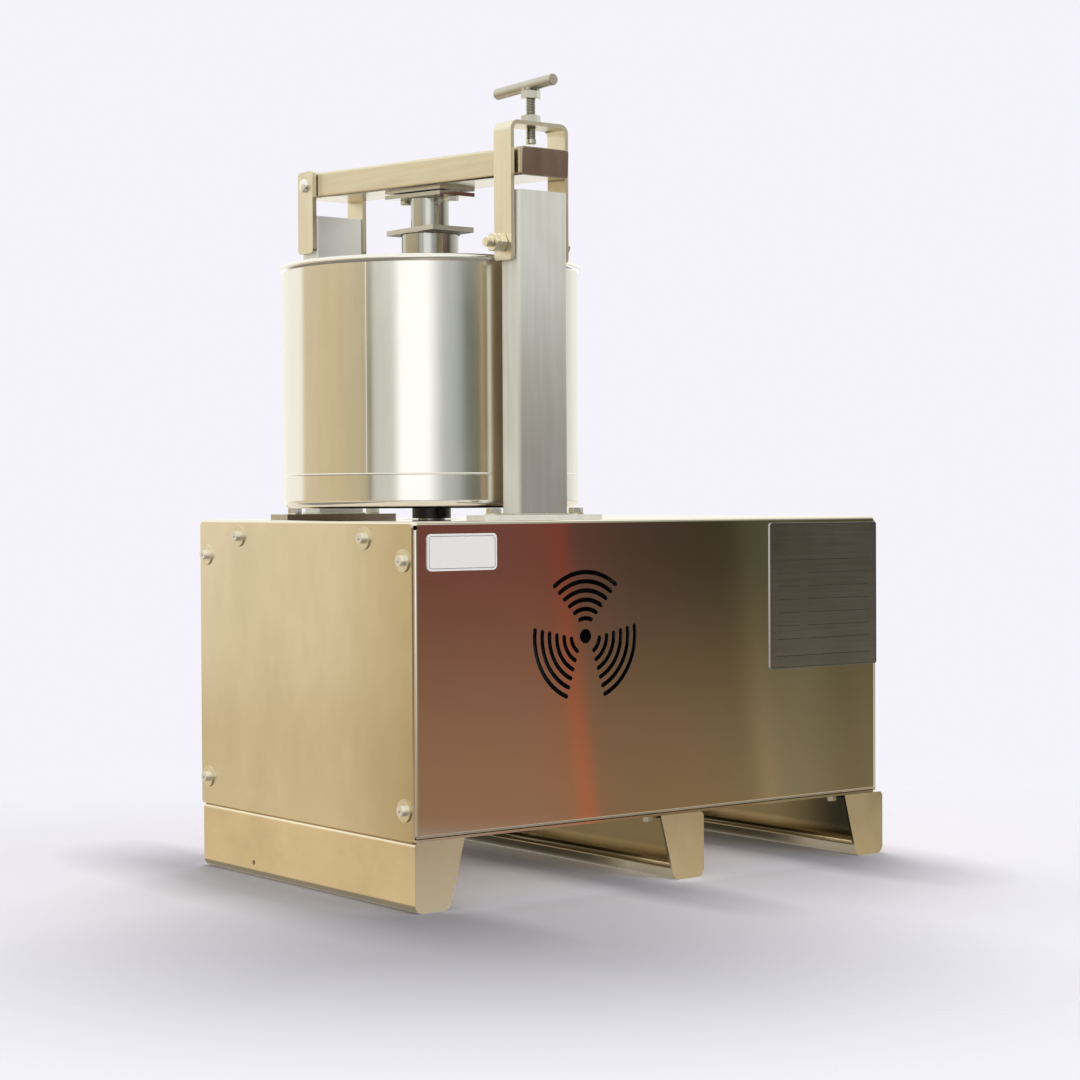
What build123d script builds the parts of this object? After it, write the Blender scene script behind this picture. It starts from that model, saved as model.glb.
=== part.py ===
"""Chocolate grinder (melanger) with a sheet-metal cabinet, a turning stone drum and a clamped pressure beam.

Frame: millimetres, +X along the vented side, +Y from the vented front to the back, +Z up.
The origin is on the floor, under the middle of the machine.
"""
import os
from math import asin, cos, degrees, radians, sin, tan

from build123d import *

# Fits
running_fit = 0.05
bolt_fit = 0.15
slide_gap = 0.3
seat_gap = 0.3

# Cabinet
cabinet_length = 611.6
cabinet_setback = 1.5
cabinet_depth = 403.0
cabinet_top = 370.0
sheet = 2.0
bend_radius = 3.5
flange_width = 24.0
corner_relief_radius = 2.2
corner_relief_drop = 6.0
base_plate_thickness = 2.5
base_plate_inset = 1.0
panel_thickness = 2.0
panel_margin = 2.5

# Legs
leg_height = 67.5
leg_sheet = 3.0
leg_top_width = 58.0
leg_foot_width = 40.0
leg_corner_radius = 9.0
leg_bend_radius = 5.0
leg_lip_height = 12.0
leg_rear_setback = 6.0
left_leg_overhang = 2.0
middle_leg_web_x = 54.3
right_leg_overhang = 10.2
leg_bolt_spread = 260.0
leg_bolt_inset = 42.0
leg_hole_y = 94.0
leg_hole_z = 15.0
leg_hole_radius = 2.5
base_bolt_radius = 3.0
base_bolt_flats = 10.0
base_bolt_head = 4.0
base_nut_height = 5.0
rim_bolt_head = 6.4
rim_bolt_gap = 8.0

# Fan-shaped vent in the front wall
vent_x = -101.0
vent_drop = 115.6
vent_slot_width = 4.5
vent_inner_radius = 17.8
vent_slot_step = 9.15
vent_slots_per_fan = 6
vent_fans = 3
first_fan_angle = 90.0
vent_fan_half_angle = 42.5
vent_fan_side_offset = 5.8
vent_eye_radius = 7.2

# End panel screws
panel_side_screw_inset = 16.5
panel_upper_screw_drop = 37.0
panel_lower_screw_rise = 29.0
panel_top_screw_inset = 83.5
panel_top_screw_drop = 16.5
panel_screw_head_radius = 5.0
panel_screw_head_height = 4.4
panel_screw_radius = 3.0
panel_screw_length = 12.0
panel_screw_socket = 4.0
panel_screw_socket_depth = 2.4
washer_radius = 11.0
washer_thickness = 1.6

# Drum and its drive
drum_x = -146.0
drum_edge_margin = 48.0
drum_wall = 2.0
drum_lift = 12.0
drum_floor_thickness = 4.0
drum_height = 250.0
rim_bead_radius = 3.6
drum_corner_radius = 8.0
drum_seam_depth = 0.6
drum_seam_width = 1.6
hub_radius = 20.2
hub_clearance = 1.0
shaft_radius = 14.0
shaft_foot_rise = 20.0
stone_thickness = 30.0
stone_wall_gap = 1.5
stone_edge = 3.0
centre_post_radius = 18.0
centre_post_height = 130.0
centre_post_edge = 6.0
bearing_radius = 36.0
bearing_thickness = 18.0
bearing_spigot_radius = 30.0
bearing_edge = 4.0
shaft_end_gap = 2.0

# Gearbox and motor inside the cabinet
gearbox_length = 124.0
gearbox_width = 116.0
gearbox_stand_height = 70.0
gearbox_height = 130.0
gearbox_edge = 8.0
stand_wall = 5.0
motor_axis_rise = 60.0
motor_radius = 68.0
motor_length = 190.0
motor_flange_radius = 76.0
motor_flange_thickness = 12.0
motor_fins = 24
motor_fin_height = 6.0
motor_fin_width = 3.0
motor_shaft_radius = 9.0
input_shaft_depth = 40.0
fan_cover_length = 58.0
fan_cover_wall = 1.6
fan_cover_rings = (22.0, 38.0, 54.0)
fan_cover_holes = 14
fan_cover_hole_radius = 3.5
fan_radius = 58.0
fan_hub_radius = 19.5
fan_thickness = 16.0
fan_blades = 8
fan_blade_width = 3.0
fan_gap = 12.0
cradle_length = 90.0
cradle_width = 110.0
cradle_top_drop = 34.0
terminal_box_length = 84.0
terminal_box_width = 70.0
terminal_box_height = 44.0
terminal_box_edge = 4.0

# Posts
post_width = 60.0
post_depth = 30.0
post_wall = 2.0
post_corner_radius = 3.5
post_inner_radius = 1.5
front_post_inset = 22.0
rear_post_inset = 15.0
front_post_drop = 43.0
rear_post_drop = 34.0
foot_plate_length = 146.0
foot_plate_depth = 34.0
foot_plate_thickness = 5.0
foot_bolt_spread = 102.0
foot_bolt_radius = 4.0
foot_bolt_flats = 13.0
foot_bolt_head = 5.3
foot_bolt_length = 16.0
foot_washer_radius = 8.0

# Rear hinge of the beam
ear_thickness = 5.0
ear_below_hinge = 74.5
ear_above_hinge = 15.0
ear_corner_radius = 5.0
hinge_rise = 103.0
hinge_bolt_radius = 5.0
hinge_head_radius = 7.5
hinge_head_height = 4.0
hinge_head_round = 3.0
hinge_bush_radius = 8.5
nut_flats = 17.0
nut_height = 8.0
bolt_head_height = 6.4
thread_past_nut = 4.0

# Beam
beam_width = 58.0
beam_height = 28.0
beam_wall = 2.5
beam_corner_radius = 3.0
beam_inner_radius = 1.5
beam_slope = 2.3
beam_front_overhang = 19.0
beam_rear_overhang = 14.0
end_cap_thickness = 3.0
end_cap_edge = 1.0
flange_plate_width = 44.0
flange_plate_length = 100.0
flange_plate_thickness = 4.0
flange_upper_thickness = 3.2
flange_gap = 1.8
flange_pad_radius = 9.0
flange_bolt_spread = 80.0
flange_bolt_radius = 4.0
flange_bolt_flats = 13.0
flange_bolt_head = 5.3

# Stone holder
pressure_tube_radius = 20.0
pressure_tube_wall = 2.5
pressure_tube_reach = 45.0
pressure_collar_radius = 25.0
pressure_collar_height = 8.0
pressure_collar_gap = 0.5
holder_plate_width = 55.0
holder_plate_length = 84.0
holder_plate_thickness = 5.0
holder_plate_rise = 40.0
holder_plate_corner = 3.0
holder_tube_radius = 29.8
holder_tube_wall = 3.0
holder_tube_gap = 24.0
spring_radius = 23.0
spring_bore = 11.0
spring_length = 52.0
spring_seat_thickness = 6.0
axle_radius = 11.0
axle_shoulder_radius = 16.0
axle_thread_radius = 8.0
roller_radius = 55.0
roller_length = 68.0
roller_inner_gap = 18.0
roller_edge = 4.0
roller_bush_radius = 15.0
axle_nut_flats = 24.0
axle_nut_height = 10.0
axle_end_gap = 0.5
scraper_arm_width = 16.0
scraper_arm_thickness = 5.0
scraper_arm_rise = 84.0
scraper_stone_gap = 2.0
scraper_blade_width = 24.0
scraper_blade_thickness = 5.0
scraper_blade_edge = 1.0
scraper_blade_rise = 5.0
scraper_wall_gap = 1.5

# Stirrup and clamping screw
stirrup_setback = 4.0
stirrup_pivot_drop = 51.0
stirrup_width = 28.0
stirrup_bar = 4.0
stirrup_gap = 62.8
stirrup_headroom = 25.5
stirrup_tail = 17.0
stirrup_bend_radius = 9.0
stirrup_end_radius = 4.0
pivot_bolt_radius = 5.0
jam_nut_height = 5.0
pivot_thread_past_nut = 8.0
screw_radius = 5.0
screw_spigot_radius = 3.0
screw_spigot_length = 3.5
nose_lift = 5.0
nose_height = 5.0
nose_chamfer = 0.8
handle_nut_rise = 16.0
handle_bar_radius = 5.7
handle_bar_length = 103.0
handle_bar_offset = 10.5
handle_bar_turn = 5.0
handle_bar_chamfer = 0.8

# Switch and inlet on the right end panel
switch_inset = 83.0
switch_rise = 105.0
inlet_drop = 46.0
switch_width = 30.0
switch_height = 22.0
switch_depth = 26.0
switch_bezel = 2.0
switch_bezel_lip = 3.0
switch_bezel_corner = 2.5
rocker_width = 22.0
rocker_height = 15.0
rocker_swell = 3.0
rocker_gap = 0.6
rocker_throw = 16.0
rocker_pin_radius = 1.5
rocker_pin_grip = 2.0
rocker_pocket = 12.0
inlet_width = 48.0
inlet_height = 28.0
inlet_depth = 24.0
inlet_recess = 16.0
inlet_socket_width = 28.0
inlet_socket_height = 18.0
inlet_socket_corner = 4.0
inlet_pin_thickness = 2.0
inlet_pin_height = 4.0
inlet_pin_pitch = 7.0

# Places that follow from the sizes above
cabinet_front = cabinet_setback - cabinet_depth / 2
cabinet_rear = cabinet_front + cabinet_depth
cabinet_mid_y = (cabinet_front + cabinet_rear) / 2
cabinet_base = leg_height + base_plate_thickness
cabinet_height = cabinet_top - cabinet_base
cabinet_end = cabinet_length / 2
panel_outer = cabinet_end + panel_thickness
inner_top = cabinet_top - sheet
foot_top = cabinet_top + foot_plate_thickness
left_leg_web_x = -cabinet_end - left_leg_overhang
right_leg_web_x = cabinet_end + right_leg_overhang
vent_z = cabinet_top - vent_drop
switch_y = cabinet_rear - switch_inset
drum_floor_z = cabinet_top + drum_lift
drum_rim_z = drum_floor_z + drum_height
drum_radius = cabinet_depth / 2 - drum_edge_margin
drum_inner_radius = drum_radius - drum_wall
stone_bottom = drum_floor_z + drum_floor_thickness
stone_top = stone_bottom + stone_thickness
drum_seam_z = stone_top
centre_post_top = stone_top + centre_post_height
gearbox_bottom_z = cabinet_base + gearbox_stand_height
shaft_bottom_z = gearbox_bottom_z + shaft_foot_rise
motor_axis_z = gearbox_bottom_z + motor_axis_rise
gearbox_end = drum_x + gearbox_length / 2
motor_start = gearbox_end + motor_flange_thickness
motor_end = motor_start + motor_length
fan_cover_end = motor_end + fan_cover_length
front_post_y = cabinet_front + front_post_inset
rear_post_y = cabinet_rear - rear_post_inset
hinge_z = drum_rim_z + hinge_rise
front_post_top = hinge_z - front_post_drop
rear_post_top = hinge_z - rear_post_drop
ear_bottom = hinge_z - ear_below_hinge
slope = radians(beam_slope)
beam_front_y = front_post_y - beam_front_overhang
beam_length = (rear_post_y - beam_front_y) / cos(slope)
holder_plate_top = drum_rim_z + holder_plate_rise
holder_plate_bottom = holder_plate_top - holder_plate_thickness
holder_tube_bottom = stone_top + holder_tube_gap
pressure_tube_bottom = holder_plate_bottom - pressure_tube_reach
scraper_arm_z = stone_top + scraper_arm_rise
holder_bore = holder_tube_radius - holder_tube_wall
axle_z = stone_top + roller_radius + seat_gap
roller_start = holder_tube_radius + roller_inner_gap
roller_end = roller_start + roller_length
stirrup_y = front_post_y + stirrup_setback
stirrup_pivot_z = front_post_top - stirrup_pivot_drop
stirrup_bottom = stirrup_pivot_z - stirrup_tail
beam_top_at_stirrup = hinge_z - (rear_post_y - stirrup_y) * tan(slope) + beam_height / (2 * cos(slope))
stirrup_top = beam_top_at_stirrup + stirrup_headroom
nose_bottom = beam_top_at_stirrup + nose_lift
handle_nut_bottom = stirrup_top + nut_height + handle_nut_rise
stirrup_half = stirrup_gap / 2
stirrup_outer = stirrup_half + stirrup_bar
switch_z = cabinet_base + switch_rise
handle_bar_z = handle_nut_bottom + nut_height + handle_bar_radius

# Planes
beam_plane = Plane(
    origin=(drum_x, rear_post_y, hinge_z), x_dir=(1, 0, 0), z_dir=(0, -cos(slope), -sin(slope))
)
stirrup_plane = Plane(origin=(drum_x, stirrup_y, stirrup_pivot_z), x_dir=(1, 0, 0), z_dir=(0, -1, 0))

os.makedirs("parts", exist_ok=True)


def save(piece, name):
    """Labels a finished piece and writes it to its own file."""
    piece.part.label = name
    export_step(piece.part, f"parts/{name}.step")


def add_disc(plane, radius, height):
    """Adds a plain cylinder that grows out of a plane."""
    with BuildSketch(plane) as outline:
        Circle(radius)
    extrude(outline.sketch, amount=height)


def add_hexagon(plane, flats, height):
    """Adds a hexagon of the given width across flats that grows out of a plane."""
    with BuildSketch(plane) as outline:
        RegularPolygon(flats / 2, 6, major_radius=False)
    extrude(outline.sketch, amount=height)


def cut_disc(plane, radius, height):
    """Cuts a round hole to a depth along a plane's normal."""
    with BuildSketch(plane) as outline:
        Circle(radius)
    extrude(outline.sketch, amount=height, mode=Mode.SUBTRACT)


def across(x, y, z, way=1):
    """A plane at a point, looking along X in the given way."""
    return Plane(origin=(x, y, z), x_dir=(0, 1, 0), z_dir=(way, 0, 0))


def upright(x, y, z, way=1):
    """A plane at a point, looking along Z in the given way."""
    return Plane(origin=(x, y, z), x_dir=(1, 0, 0), z_dir=(0, 0, way))


def end_screw_places(end):
    """Screw centres on the outer face of an end panel: four at the sides and two at the top."""
    side = cabinet_depth / 2 - panel_side_screw_inset
    top = cabinet_depth / 2 - panel_top_screw_inset
    upper = cabinet_top - panel_upper_screw_drop
    lower = leg_height + panel_lower_screw_rise
    highest = cabinet_top - panel_top_screw_drop
    spots = [(side, upper), (side, lower), (top, highest)]
    return [
        across(end * panel_outer, cabinet_mid_y + way * y, z, end)
        for y, z in spots
        for way in (-1, 1)
    ]


# Places of the bolts that hold the legs and the housing to the base plate
leg_ways = {"left": 1, "middle": -1, "right": -1}
leg_webs = {"left": left_leg_web_x, "middle": middle_leg_web_x, "right": right_leg_web_x}
leg_bolt_spots = [
    (leg_webs[leg] + leg_ways[leg] * leg_bolt_inset, cabinet_mid_y + way * leg_bolt_spread / 2)
    for leg in leg_webs
    for way in (-1, 1)
]
rim_bolt_spots = [
    (leg_webs[leg] - leg_top_width - rim_bolt_gap, cabinet_mid_y + way * (cabinet_depth - flange_width) / 2)
    for leg in ("middle", "right")
    for way in (-1, 1)
]

# Housing: folded from one sheet, with flanges inside each end and along the bottom
with BuildPart() as housing:
    with Locations((0, cabinet_mid_y, cabinet_base + cabinet_height / 2)):
        Box(cabinet_length, cabinet_depth, cabinet_height)
    fillet(housing.edges(), bend_radius)
    with Locations((0, cabinet_mid_y, cabinet_base + cabinet_height / 2)):
        Box(
            cabinet_length - 2 * sheet,
            cabinet_depth - 2 * sheet,
            cabinet_height - 2 * sheet,
            mode=Mode.SUBTRACT,
        )
        Box(
            cabinet_length,
            cabinet_depth - 2 * flange_width,
            cabinet_height - 2 * flange_width,
            mode=Mode.SUBTRACT,
        )
    with BuildSketch(upright(0, cabinet_mid_y, cabinet_base)):
        Rectangle(cabinet_length - 2 * flange_width, cabinet_depth - 2 * flange_width)
    extrude(amount=sheet, mode=Mode.SUBTRACT)
    for end in (-1, 1):
        for side_y in (cabinet_front, cabinet_rear):
            side = 1 if side_y > cabinet_mid_y else -1
            relief = Plane(
                origin=(end * cabinet_end, side_y, cabinet_top - corner_relief_drop),
                x_dir=(0, 0, 1),
                z_dir=(-end, -side, 0),
            )
            with BuildSketch(relief):
                Circle(corner_relief_radius)
            extrude(amount=2 * bend_radius, mode=Mode.SUBTRACT)
        for spot in end_screw_places(end):
            cut_disc(spot.offset(-panel_thickness), panel_screw_radius + bolt_fit, -sheet)
    vent_plane = Plane(origin=(vent_x, cabinet_front, vent_z), x_dir=(1, 0, 0), z_dir=(0, -1, 0))
    with BuildSketch(vent_plane):
        Circle(vent_eye_radius)
        for fan in range(vent_fans):
            middle = first_fan_angle + fan * 360 / vent_fans
            for slot in range(vent_slots_per_fan):
                radius = vent_inner_radius + slot * vent_slot_step
                half = vent_fan_half_angle - degrees(asin(vent_fan_side_offset / radius))
                arc = Edge.make_circle(radius, start_angle=middle - half, end_angle=middle + half)
                SlotArc(arc, vent_slot_width)
    extrude(amount=-sheet, mode=Mode.SUBTRACT)
    for x, y in rim_bolt_spots:
        cut_disc(upright(x, y, cabinet_base), base_bolt_radius + bolt_fit, sheet)
    cut_disc(upright(drum_x, 0, cabinet_top), bearing_spigot_radius + bolt_fit, -sheet)
    for post_y in (front_post_y, rear_post_y):
        for way in (-1, 1):
            spot = upright(drum_x + way * foot_bolt_spread / 2, post_y, cabinet_top)
            cut_disc(spot, foot_bolt_radius + bolt_fit, -sheet)
save(housing, "housing")

# End panels: flat plates screwed over the open ends of the housing
for end, name in ((-1, "left_end_panel"), (1, "right_end_panel")):
    with BuildPart() as end_panel:
        panel_height = cabinet_top - panel_margin - leg_height
        with BuildSketch(across(end * cabinet_end, cabinet_mid_y, leg_height + panel_height / 2, end)):
            RectangleRounded(cabinet_depth - 2 * panel_margin, panel_height, bend_radius)
        extrude(amount=panel_thickness)
        for spot in end_screw_places(end):
            cut_disc(spot, panel_screw_radius + bolt_fit, -panel_thickness)
        if end > 0:
            with BuildSketch(across(panel_outer, switch_y, switch_z)):
                Rectangle(switch_width + seat_gap, switch_height + seat_gap)
            extrude(amount=-panel_thickness, mode=Mode.SUBTRACT)
            with BuildSketch(across(panel_outer, switch_y, switch_z - inlet_drop)):
                Rectangle(inlet_width + seat_gap, inlet_height + seat_gap)
            extrude(amount=-panel_thickness, mode=Mode.SUBTRACT)
    save(end_panel, name)

# Panel screws with a hexagon socket
with BuildPart() as panel_screws:
    for end in (-1, 1):
        for spot in end_screw_places(end):
            seat = spot.offset(washer_thickness)
            add_disc(seat, panel_screw_head_radius, panel_screw_head_height)
            add_disc(seat, panel_screw_radius, -panel_screw_length)
            with BuildSketch(seat.offset(panel_screw_head_height)):
                RegularPolygon(panel_screw_socket / 2, 6, major_radius=False)
            extrude(amount=-panel_screw_socket_depth, mode=Mode.SUBTRACT)
save(panel_screws, "panel_screws")

# Base plate under the housing
with BuildPart() as base_plate:
    with BuildSketch(upright(0, cabinet_mid_y, leg_height)):
        RectangleRounded(cabinet_length, cabinet_depth - 2 * base_plate_inset, bend_radius)
    extrude(amount=base_plate_thickness)
    for x, y in leg_bolt_spots + rim_bolt_spots:
        cut_disc(upright(x, y, leg_height), base_bolt_radius + bolt_fit, base_plate_thickness)
save(base_plate, "base_plate")

# Legs: folded channels with closed ends, open on the slanted side above a low lip
leg_length = cabinet_depth - leg_rear_setback
leg_front = Plane(origin=(0, cabinet_front, 0), x_dir=(1, 0, 0), z_dir=(0, -1, 0))
for leg, web_x in leg_webs.items():
    way = leg_ways[leg]
    with BuildPart() as folded_leg:
        with BuildSketch(leg_front) as leg_end:
            with BuildLine():
                Polyline(
                    (web_x, 0),
                    (web_x, leg_height),
                    (web_x + way * leg_top_width, leg_height),
                    (web_x + way * leg_foot_width, 0),
                    close=True,
                )
            make_face()
            fillet(leg_end.vertices().group_by(Axis.Y)[0], leg_corner_radius)
            upper_corners = leg_end.vertices().group_by(Axis.Y)[-1].sort_by(Axis.X)
            fillet(upper_corners[0 if way > 0 else -1], leg_bend_radius)
        extrude(amount=-leg_length)
        with BuildSketch(leg_front.offset(-leg_sheet)) as leg_hollow:
            add(leg_end.sketch_local)
            offset(amount=-leg_sheet, kind=Kind.INTERSECTION)
            with Locations((web_x + way * leg_top_width, (leg_lip_height + leg_height - leg_sheet) / 2)):
                Rectangle(leg_top_width, leg_height - leg_sheet - leg_lip_height)
        extrude(amount=2 * leg_sheet - leg_length, mode=Mode.SUBTRACT)
        for x, y in leg_bolt_spots:
            if abs(x - web_x - way * leg_bolt_inset) < base_bolt_radius:
                cut_disc(upright(x, y, leg_height), base_bolt_radius + bolt_fit, -leg_sheet)
        if leg == "left":
            cut_disc(across(web_x, leg_hole_y, leg_hole_z), leg_hole_radius, leg_sheet)
    save(folded_leg, f"{leg}_leg")

with BuildPart() as base_bolts:
    for x, y in leg_bolt_spots:
        seat = upright(x, y, leg_height - leg_sheet)
        add_hexagon(upright(x, y, leg_height - leg_sheet, -1), base_bolt_flats, base_bolt_head)
        add_disc(seat, base_bolt_radius, leg_sheet + base_plate_thickness + base_nut_height)
        add_hexagon(upright(x, y, cabinet_base), base_bolt_flats, base_nut_height)
    for x, y in rim_bolt_spots:
        add_hexagon(upright(x, y, leg_height, -1), base_bolt_flats, rim_bolt_head)
        add_disc(upright(x, y, leg_height), base_bolt_radius, base_plate_thickness + sheet + base_nut_height)
        add_hexagon(upright(x, y, cabinet_base + sheet), base_bolt_flats, base_nut_height)
save(base_bolts, "base_bolts")

# Gearbox on its stand, with a vertical output bore and a level input bore
gearbox_mid_z = gearbox_bottom_z + gearbox_height / 2
with BuildPart() as gearbox:
    with Locations((drum_x, 0, gearbox_mid_z)):
        Box(gearbox_length, gearbox_width, gearbox_height)
    fillet(gearbox.edges().filter_by(Axis.Z), gearbox_edge)
    gearbox_top_z = gearbox_bottom_z + gearbox_height
    with BuildSketch(upright(drum_x, 0, gearbox_top_z)):
        Circle(gearbox_width / 2 - gearbox_edge)
    extrude(amount=gearbox_edge)
    bore_depth = gearbox_top_z + gearbox_edge - shaft_bottom_z + shaft_end_gap
    cut_disc(upright(drum_x, 0, gearbox_top_z + gearbox_edge), shaft_radius + running_fit, -bore_depth)
    input_bore = across(gearbox_end, 0, motor_axis_z)
    cut_disc(input_bore, motor_shaft_radius + running_fit, -(input_shaft_depth + shaft_end_gap))
save(gearbox, "gearbox")

with BuildPart() as gearbox_stand:
    with Locations((drum_x, 0, cabinet_base + gearbox_stand_height / 2)):
        Box(gearbox_length, gearbox_width, gearbox_stand_height)
        Box(
            gearbox_length,
            gearbox_width - 2 * stand_wall,
            gearbox_stand_height - 2 * stand_wall,
            mode=Mode.SUBTRACT,
        )
save(gearbox_stand, "gearbox_stand")

# Upper bearing: a flange under the top sheet, with a spigot in the sheet's hole
with BuildPart() as top_bearing:
    add_disc(upright(drum_x, 0, inner_top, -1), bearing_radius, bearing_thickness)
    fillet(top_bearing.edges().group_by(Axis.Z)[0], bearing_edge)
    add_disc(upright(drum_x, 0, inner_top), bearing_spigot_radius, sheet)
    cut_disc(upright(drum_x, 0, cabinet_top), shaft_radius + running_fit, -(sheet + bearing_thickness))
save(top_bearing, "top_bearing")

# Motor: flanged to the gearbox, finned, cradled from the base plate
with BuildPart() as motor:
    add_disc(across(gearbox_end, 0, motor_axis_z), motor_flange_radius, motor_flange_thickness)
    with BuildSketch(across(motor_start, 0, motor_axis_z)):
        Circle(motor_radius)
        with PolarLocations(motor_radius, motor_fins):
            Rectangle(2 * motor_fin_height, motor_fin_width)
    extrude(amount=motor_length)
    cut_disc(across(gearbox_end, 0, motor_axis_z), motor_shaft_radius + running_fit,
             motor_flange_thickness + motor_length)
save(motor, "motor")

fin_radius = motor_radius + motor_fin_height
with BuildPart() as motor_cradle:
    with Locations(((motor_start + motor_end) / 2, 0, cabinet_base)):
        Box(cradle_length, cradle_width, motor_axis_z - cradle_top_drop - cabinet_base,
            align=(Align.CENTER, Align.CENTER, Align.MIN))
    cut_disc(across(motor_start, 0, motor_axis_z), fin_radius + slide_gap, motor_length)
save(motor_cradle, "motor_cradle")

with BuildPart() as terminal_box:
    with Locations(((motor_start + motor_end) / 2, 0, motor_axis_z + fin_radius)):
        Box(terminal_box_length, terminal_box_width, terminal_box_height,
            align=(Align.CENTER, Align.CENTER, Align.MIN))
    fillet(terminal_box.edges().filter_by(Axis.Z), gearbox_edge)
    fillet(terminal_box.edges().group_by(Axis.Z)[-1], terminal_box_edge)
save(terminal_box, "terminal_box")

with BuildPart() as fan_cover:
    cover_radius = fin_radius + slide_gap + fan_cover_wall
    with BuildSketch(across(motor_end, 0, motor_axis_z)):
        Circle(cover_radius)
    extrude(amount=fan_cover_length)
    fillet(fan_cover.edges().sort_by(Axis.X)[-1], gearbox_edge)
    cut_disc(across(motor_end, 0, motor_axis_z), cover_radius - fan_cover_wall,
             fan_cover_length - gearbox_edge)
    with BuildSketch(across(fan_cover_end, 0, motor_axis_z)):
        for ring in fan_cover_rings:
            with PolarLocations(ring, fan_cover_holes):
                Circle(fan_cover_hole_radius)
    extrude(amount=-gearbox_edge, mode=Mode.SUBTRACT)
save(fan_cover, "fan_cover")

fan_start = motor_end + fan_gap
with BuildPart() as motor_shaft:
    shaft_start = gearbox_end - input_shaft_depth
    shaft_reach = fan_start + fan_thickness - shaft_start
    add_disc(across(shaft_start, 0, motor_axis_z), motor_shaft_radius, shaft_reach)
save(motor_shaft, "motor_shaft")

with BuildPart() as cooling_fan:
    with BuildSketch(across(fan_start, 0, motor_axis_z)):
        Circle(fan_hub_radius)
        with PolarLocations(fan_radius / 2, fan_blades):
            Rectangle(fan_radius, fan_blade_width)
        Circle(motor_shaft_radius + bolt_fit, mode=Mode.SUBTRACT)
    extrude(amount=fan_thickness)
save(cooling_fan, "cooling_fan")

# Drum: spun pan with a rolled rim and a seam at the level of the base stone
with BuildPart() as drum_shell:
    with BuildSketch(Plane(origin=(drum_x, 0, 0), x_dir=(1, 0, 0), z_dir=(0, -1, 0))):
        with BuildLine():
            Polyline(
                (shaft_radius + bolt_fit, drum_floor_z),
                (drum_radius, drum_floor_z),
                (drum_radius, drum_rim_z - rim_bead_radius),
                (drum_inner_radius, drum_rim_z - rim_bead_radius),
                (drum_inner_radius, stone_bottom),
                (shaft_radius + bolt_fit, stone_bottom),
                close=True,
            )
        make_face()
        with Locations((drum_radius, drum_rim_z - rim_bead_radius)):
            Circle(rim_bead_radius)
        with Locations((drum_radius, drum_seam_z)):
            Rectangle(2 * drum_seam_depth, drum_seam_width, mode=Mode.SUBTRACT)
    revolve(axis=Axis((drum_x, 0, 0), (0, 0, 1)))
    fillet(drum_shell.edges().group_by(Axis.Z)[0].sort_by(SortBy.RADIUS)[-1], drum_corner_radius)
save(drum_shell, "drum_shell")

with BuildPart() as drum_hub:
    with BuildSketch(upright(drum_x, 0, cabinet_top + hub_clearance)):
        Circle(hub_radius)
        Circle(shaft_radius + bolt_fit, mode=Mode.SUBTRACT)
    extrude(amount=drum_floor_z - cabinet_top - hub_clearance)
save(drum_hub, "drum_hub")

with BuildPart() as drive_shaft:
    add_disc(upright(drum_x, 0, shaft_bottom_z), shaft_radius, stone_bottom - shaft_bottom_z)
save(drive_shaft, "drive_shaft")

with BuildPart() as base_stone:
    with BuildSketch(upright(drum_x, 0, stone_bottom)):
        Circle(drum_inner_radius - stone_wall_gap)
        Circle(centre_post_radius + slide_gap, mode=Mode.SUBTRACT)
    extrude(amount=stone_thickness)
    chamfer(base_stone.edges().group_by(Axis.Z)[-1].sort_by(SortBy.RADIUS)[-1], stone_edge)
save(base_stone, "base_stone")

with BuildPart() as centre_post:
    add_disc(upright(drum_x, 0, stone_bottom), centre_post_radius, centre_post_top - stone_bottom)
    fillet(centre_post.edges().group_by(Axis.Z)[-1], centre_post_edge)
save(centre_post, "centre_post")

# Posts: capped rectangular tubes on bolted foot plates
post_sizes = ((front_post_y, front_post_top, "front"), (rear_post_y, rear_post_top, "rear"))
for post_y, post_top, name in post_sizes:
    with BuildPart() as post:
        with BuildSketch(upright(drum_x, post_y, foot_top)):
            RectangleRounded(post_width, post_depth, post_corner_radius)
        extrude(amount=post_top - foot_top)
        with BuildSketch(upright(drum_x, post_y, foot_top)):
            RectangleRounded(post_width - 2 * post_wall, post_depth - 2 * post_wall, post_inner_radius)
        extrude(amount=post_top - foot_top - post_wall, mode=Mode.SUBTRACT)
        if name == "front":
            with BuildSketch(across(drum_x, stirrup_y, stirrup_pivot_z)):
                Circle(pivot_bolt_radius + bolt_fit)
            extrude(amount=post_width / 2, both=True, mode=Mode.SUBTRACT)
    save(post, f"{name}_post")

    with BuildPart() as foot_plate:
        with BuildSketch(upright(drum_x, post_y, cabinet_top)):
            RectangleRounded(foot_plate_length, foot_plate_depth, post_corner_radius)
            with GridLocations(foot_bolt_spread, 0, 2, 1):
                Circle(foot_bolt_radius + bolt_fit, mode=Mode.SUBTRACT)
        extrude(amount=foot_plate_thickness)
    save(foot_plate, f"{name}_foot_plate")

foot_bolt_spots = [
    (drum_x + way * foot_bolt_spread / 2, post_y) for post_y in (front_post_y, rear_post_y) for way in (-1, 1)
]
with BuildPart() as foot_bolts:
    for x, y in foot_bolt_spots:
        seat = upright(x, y, foot_top + washer_thickness)
        add_hexagon(seat, foot_bolt_flats, foot_bolt_head)
        add_disc(seat, foot_bolt_radius, -foot_bolt_length)
save(foot_bolts, "foot_bolts")

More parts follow.
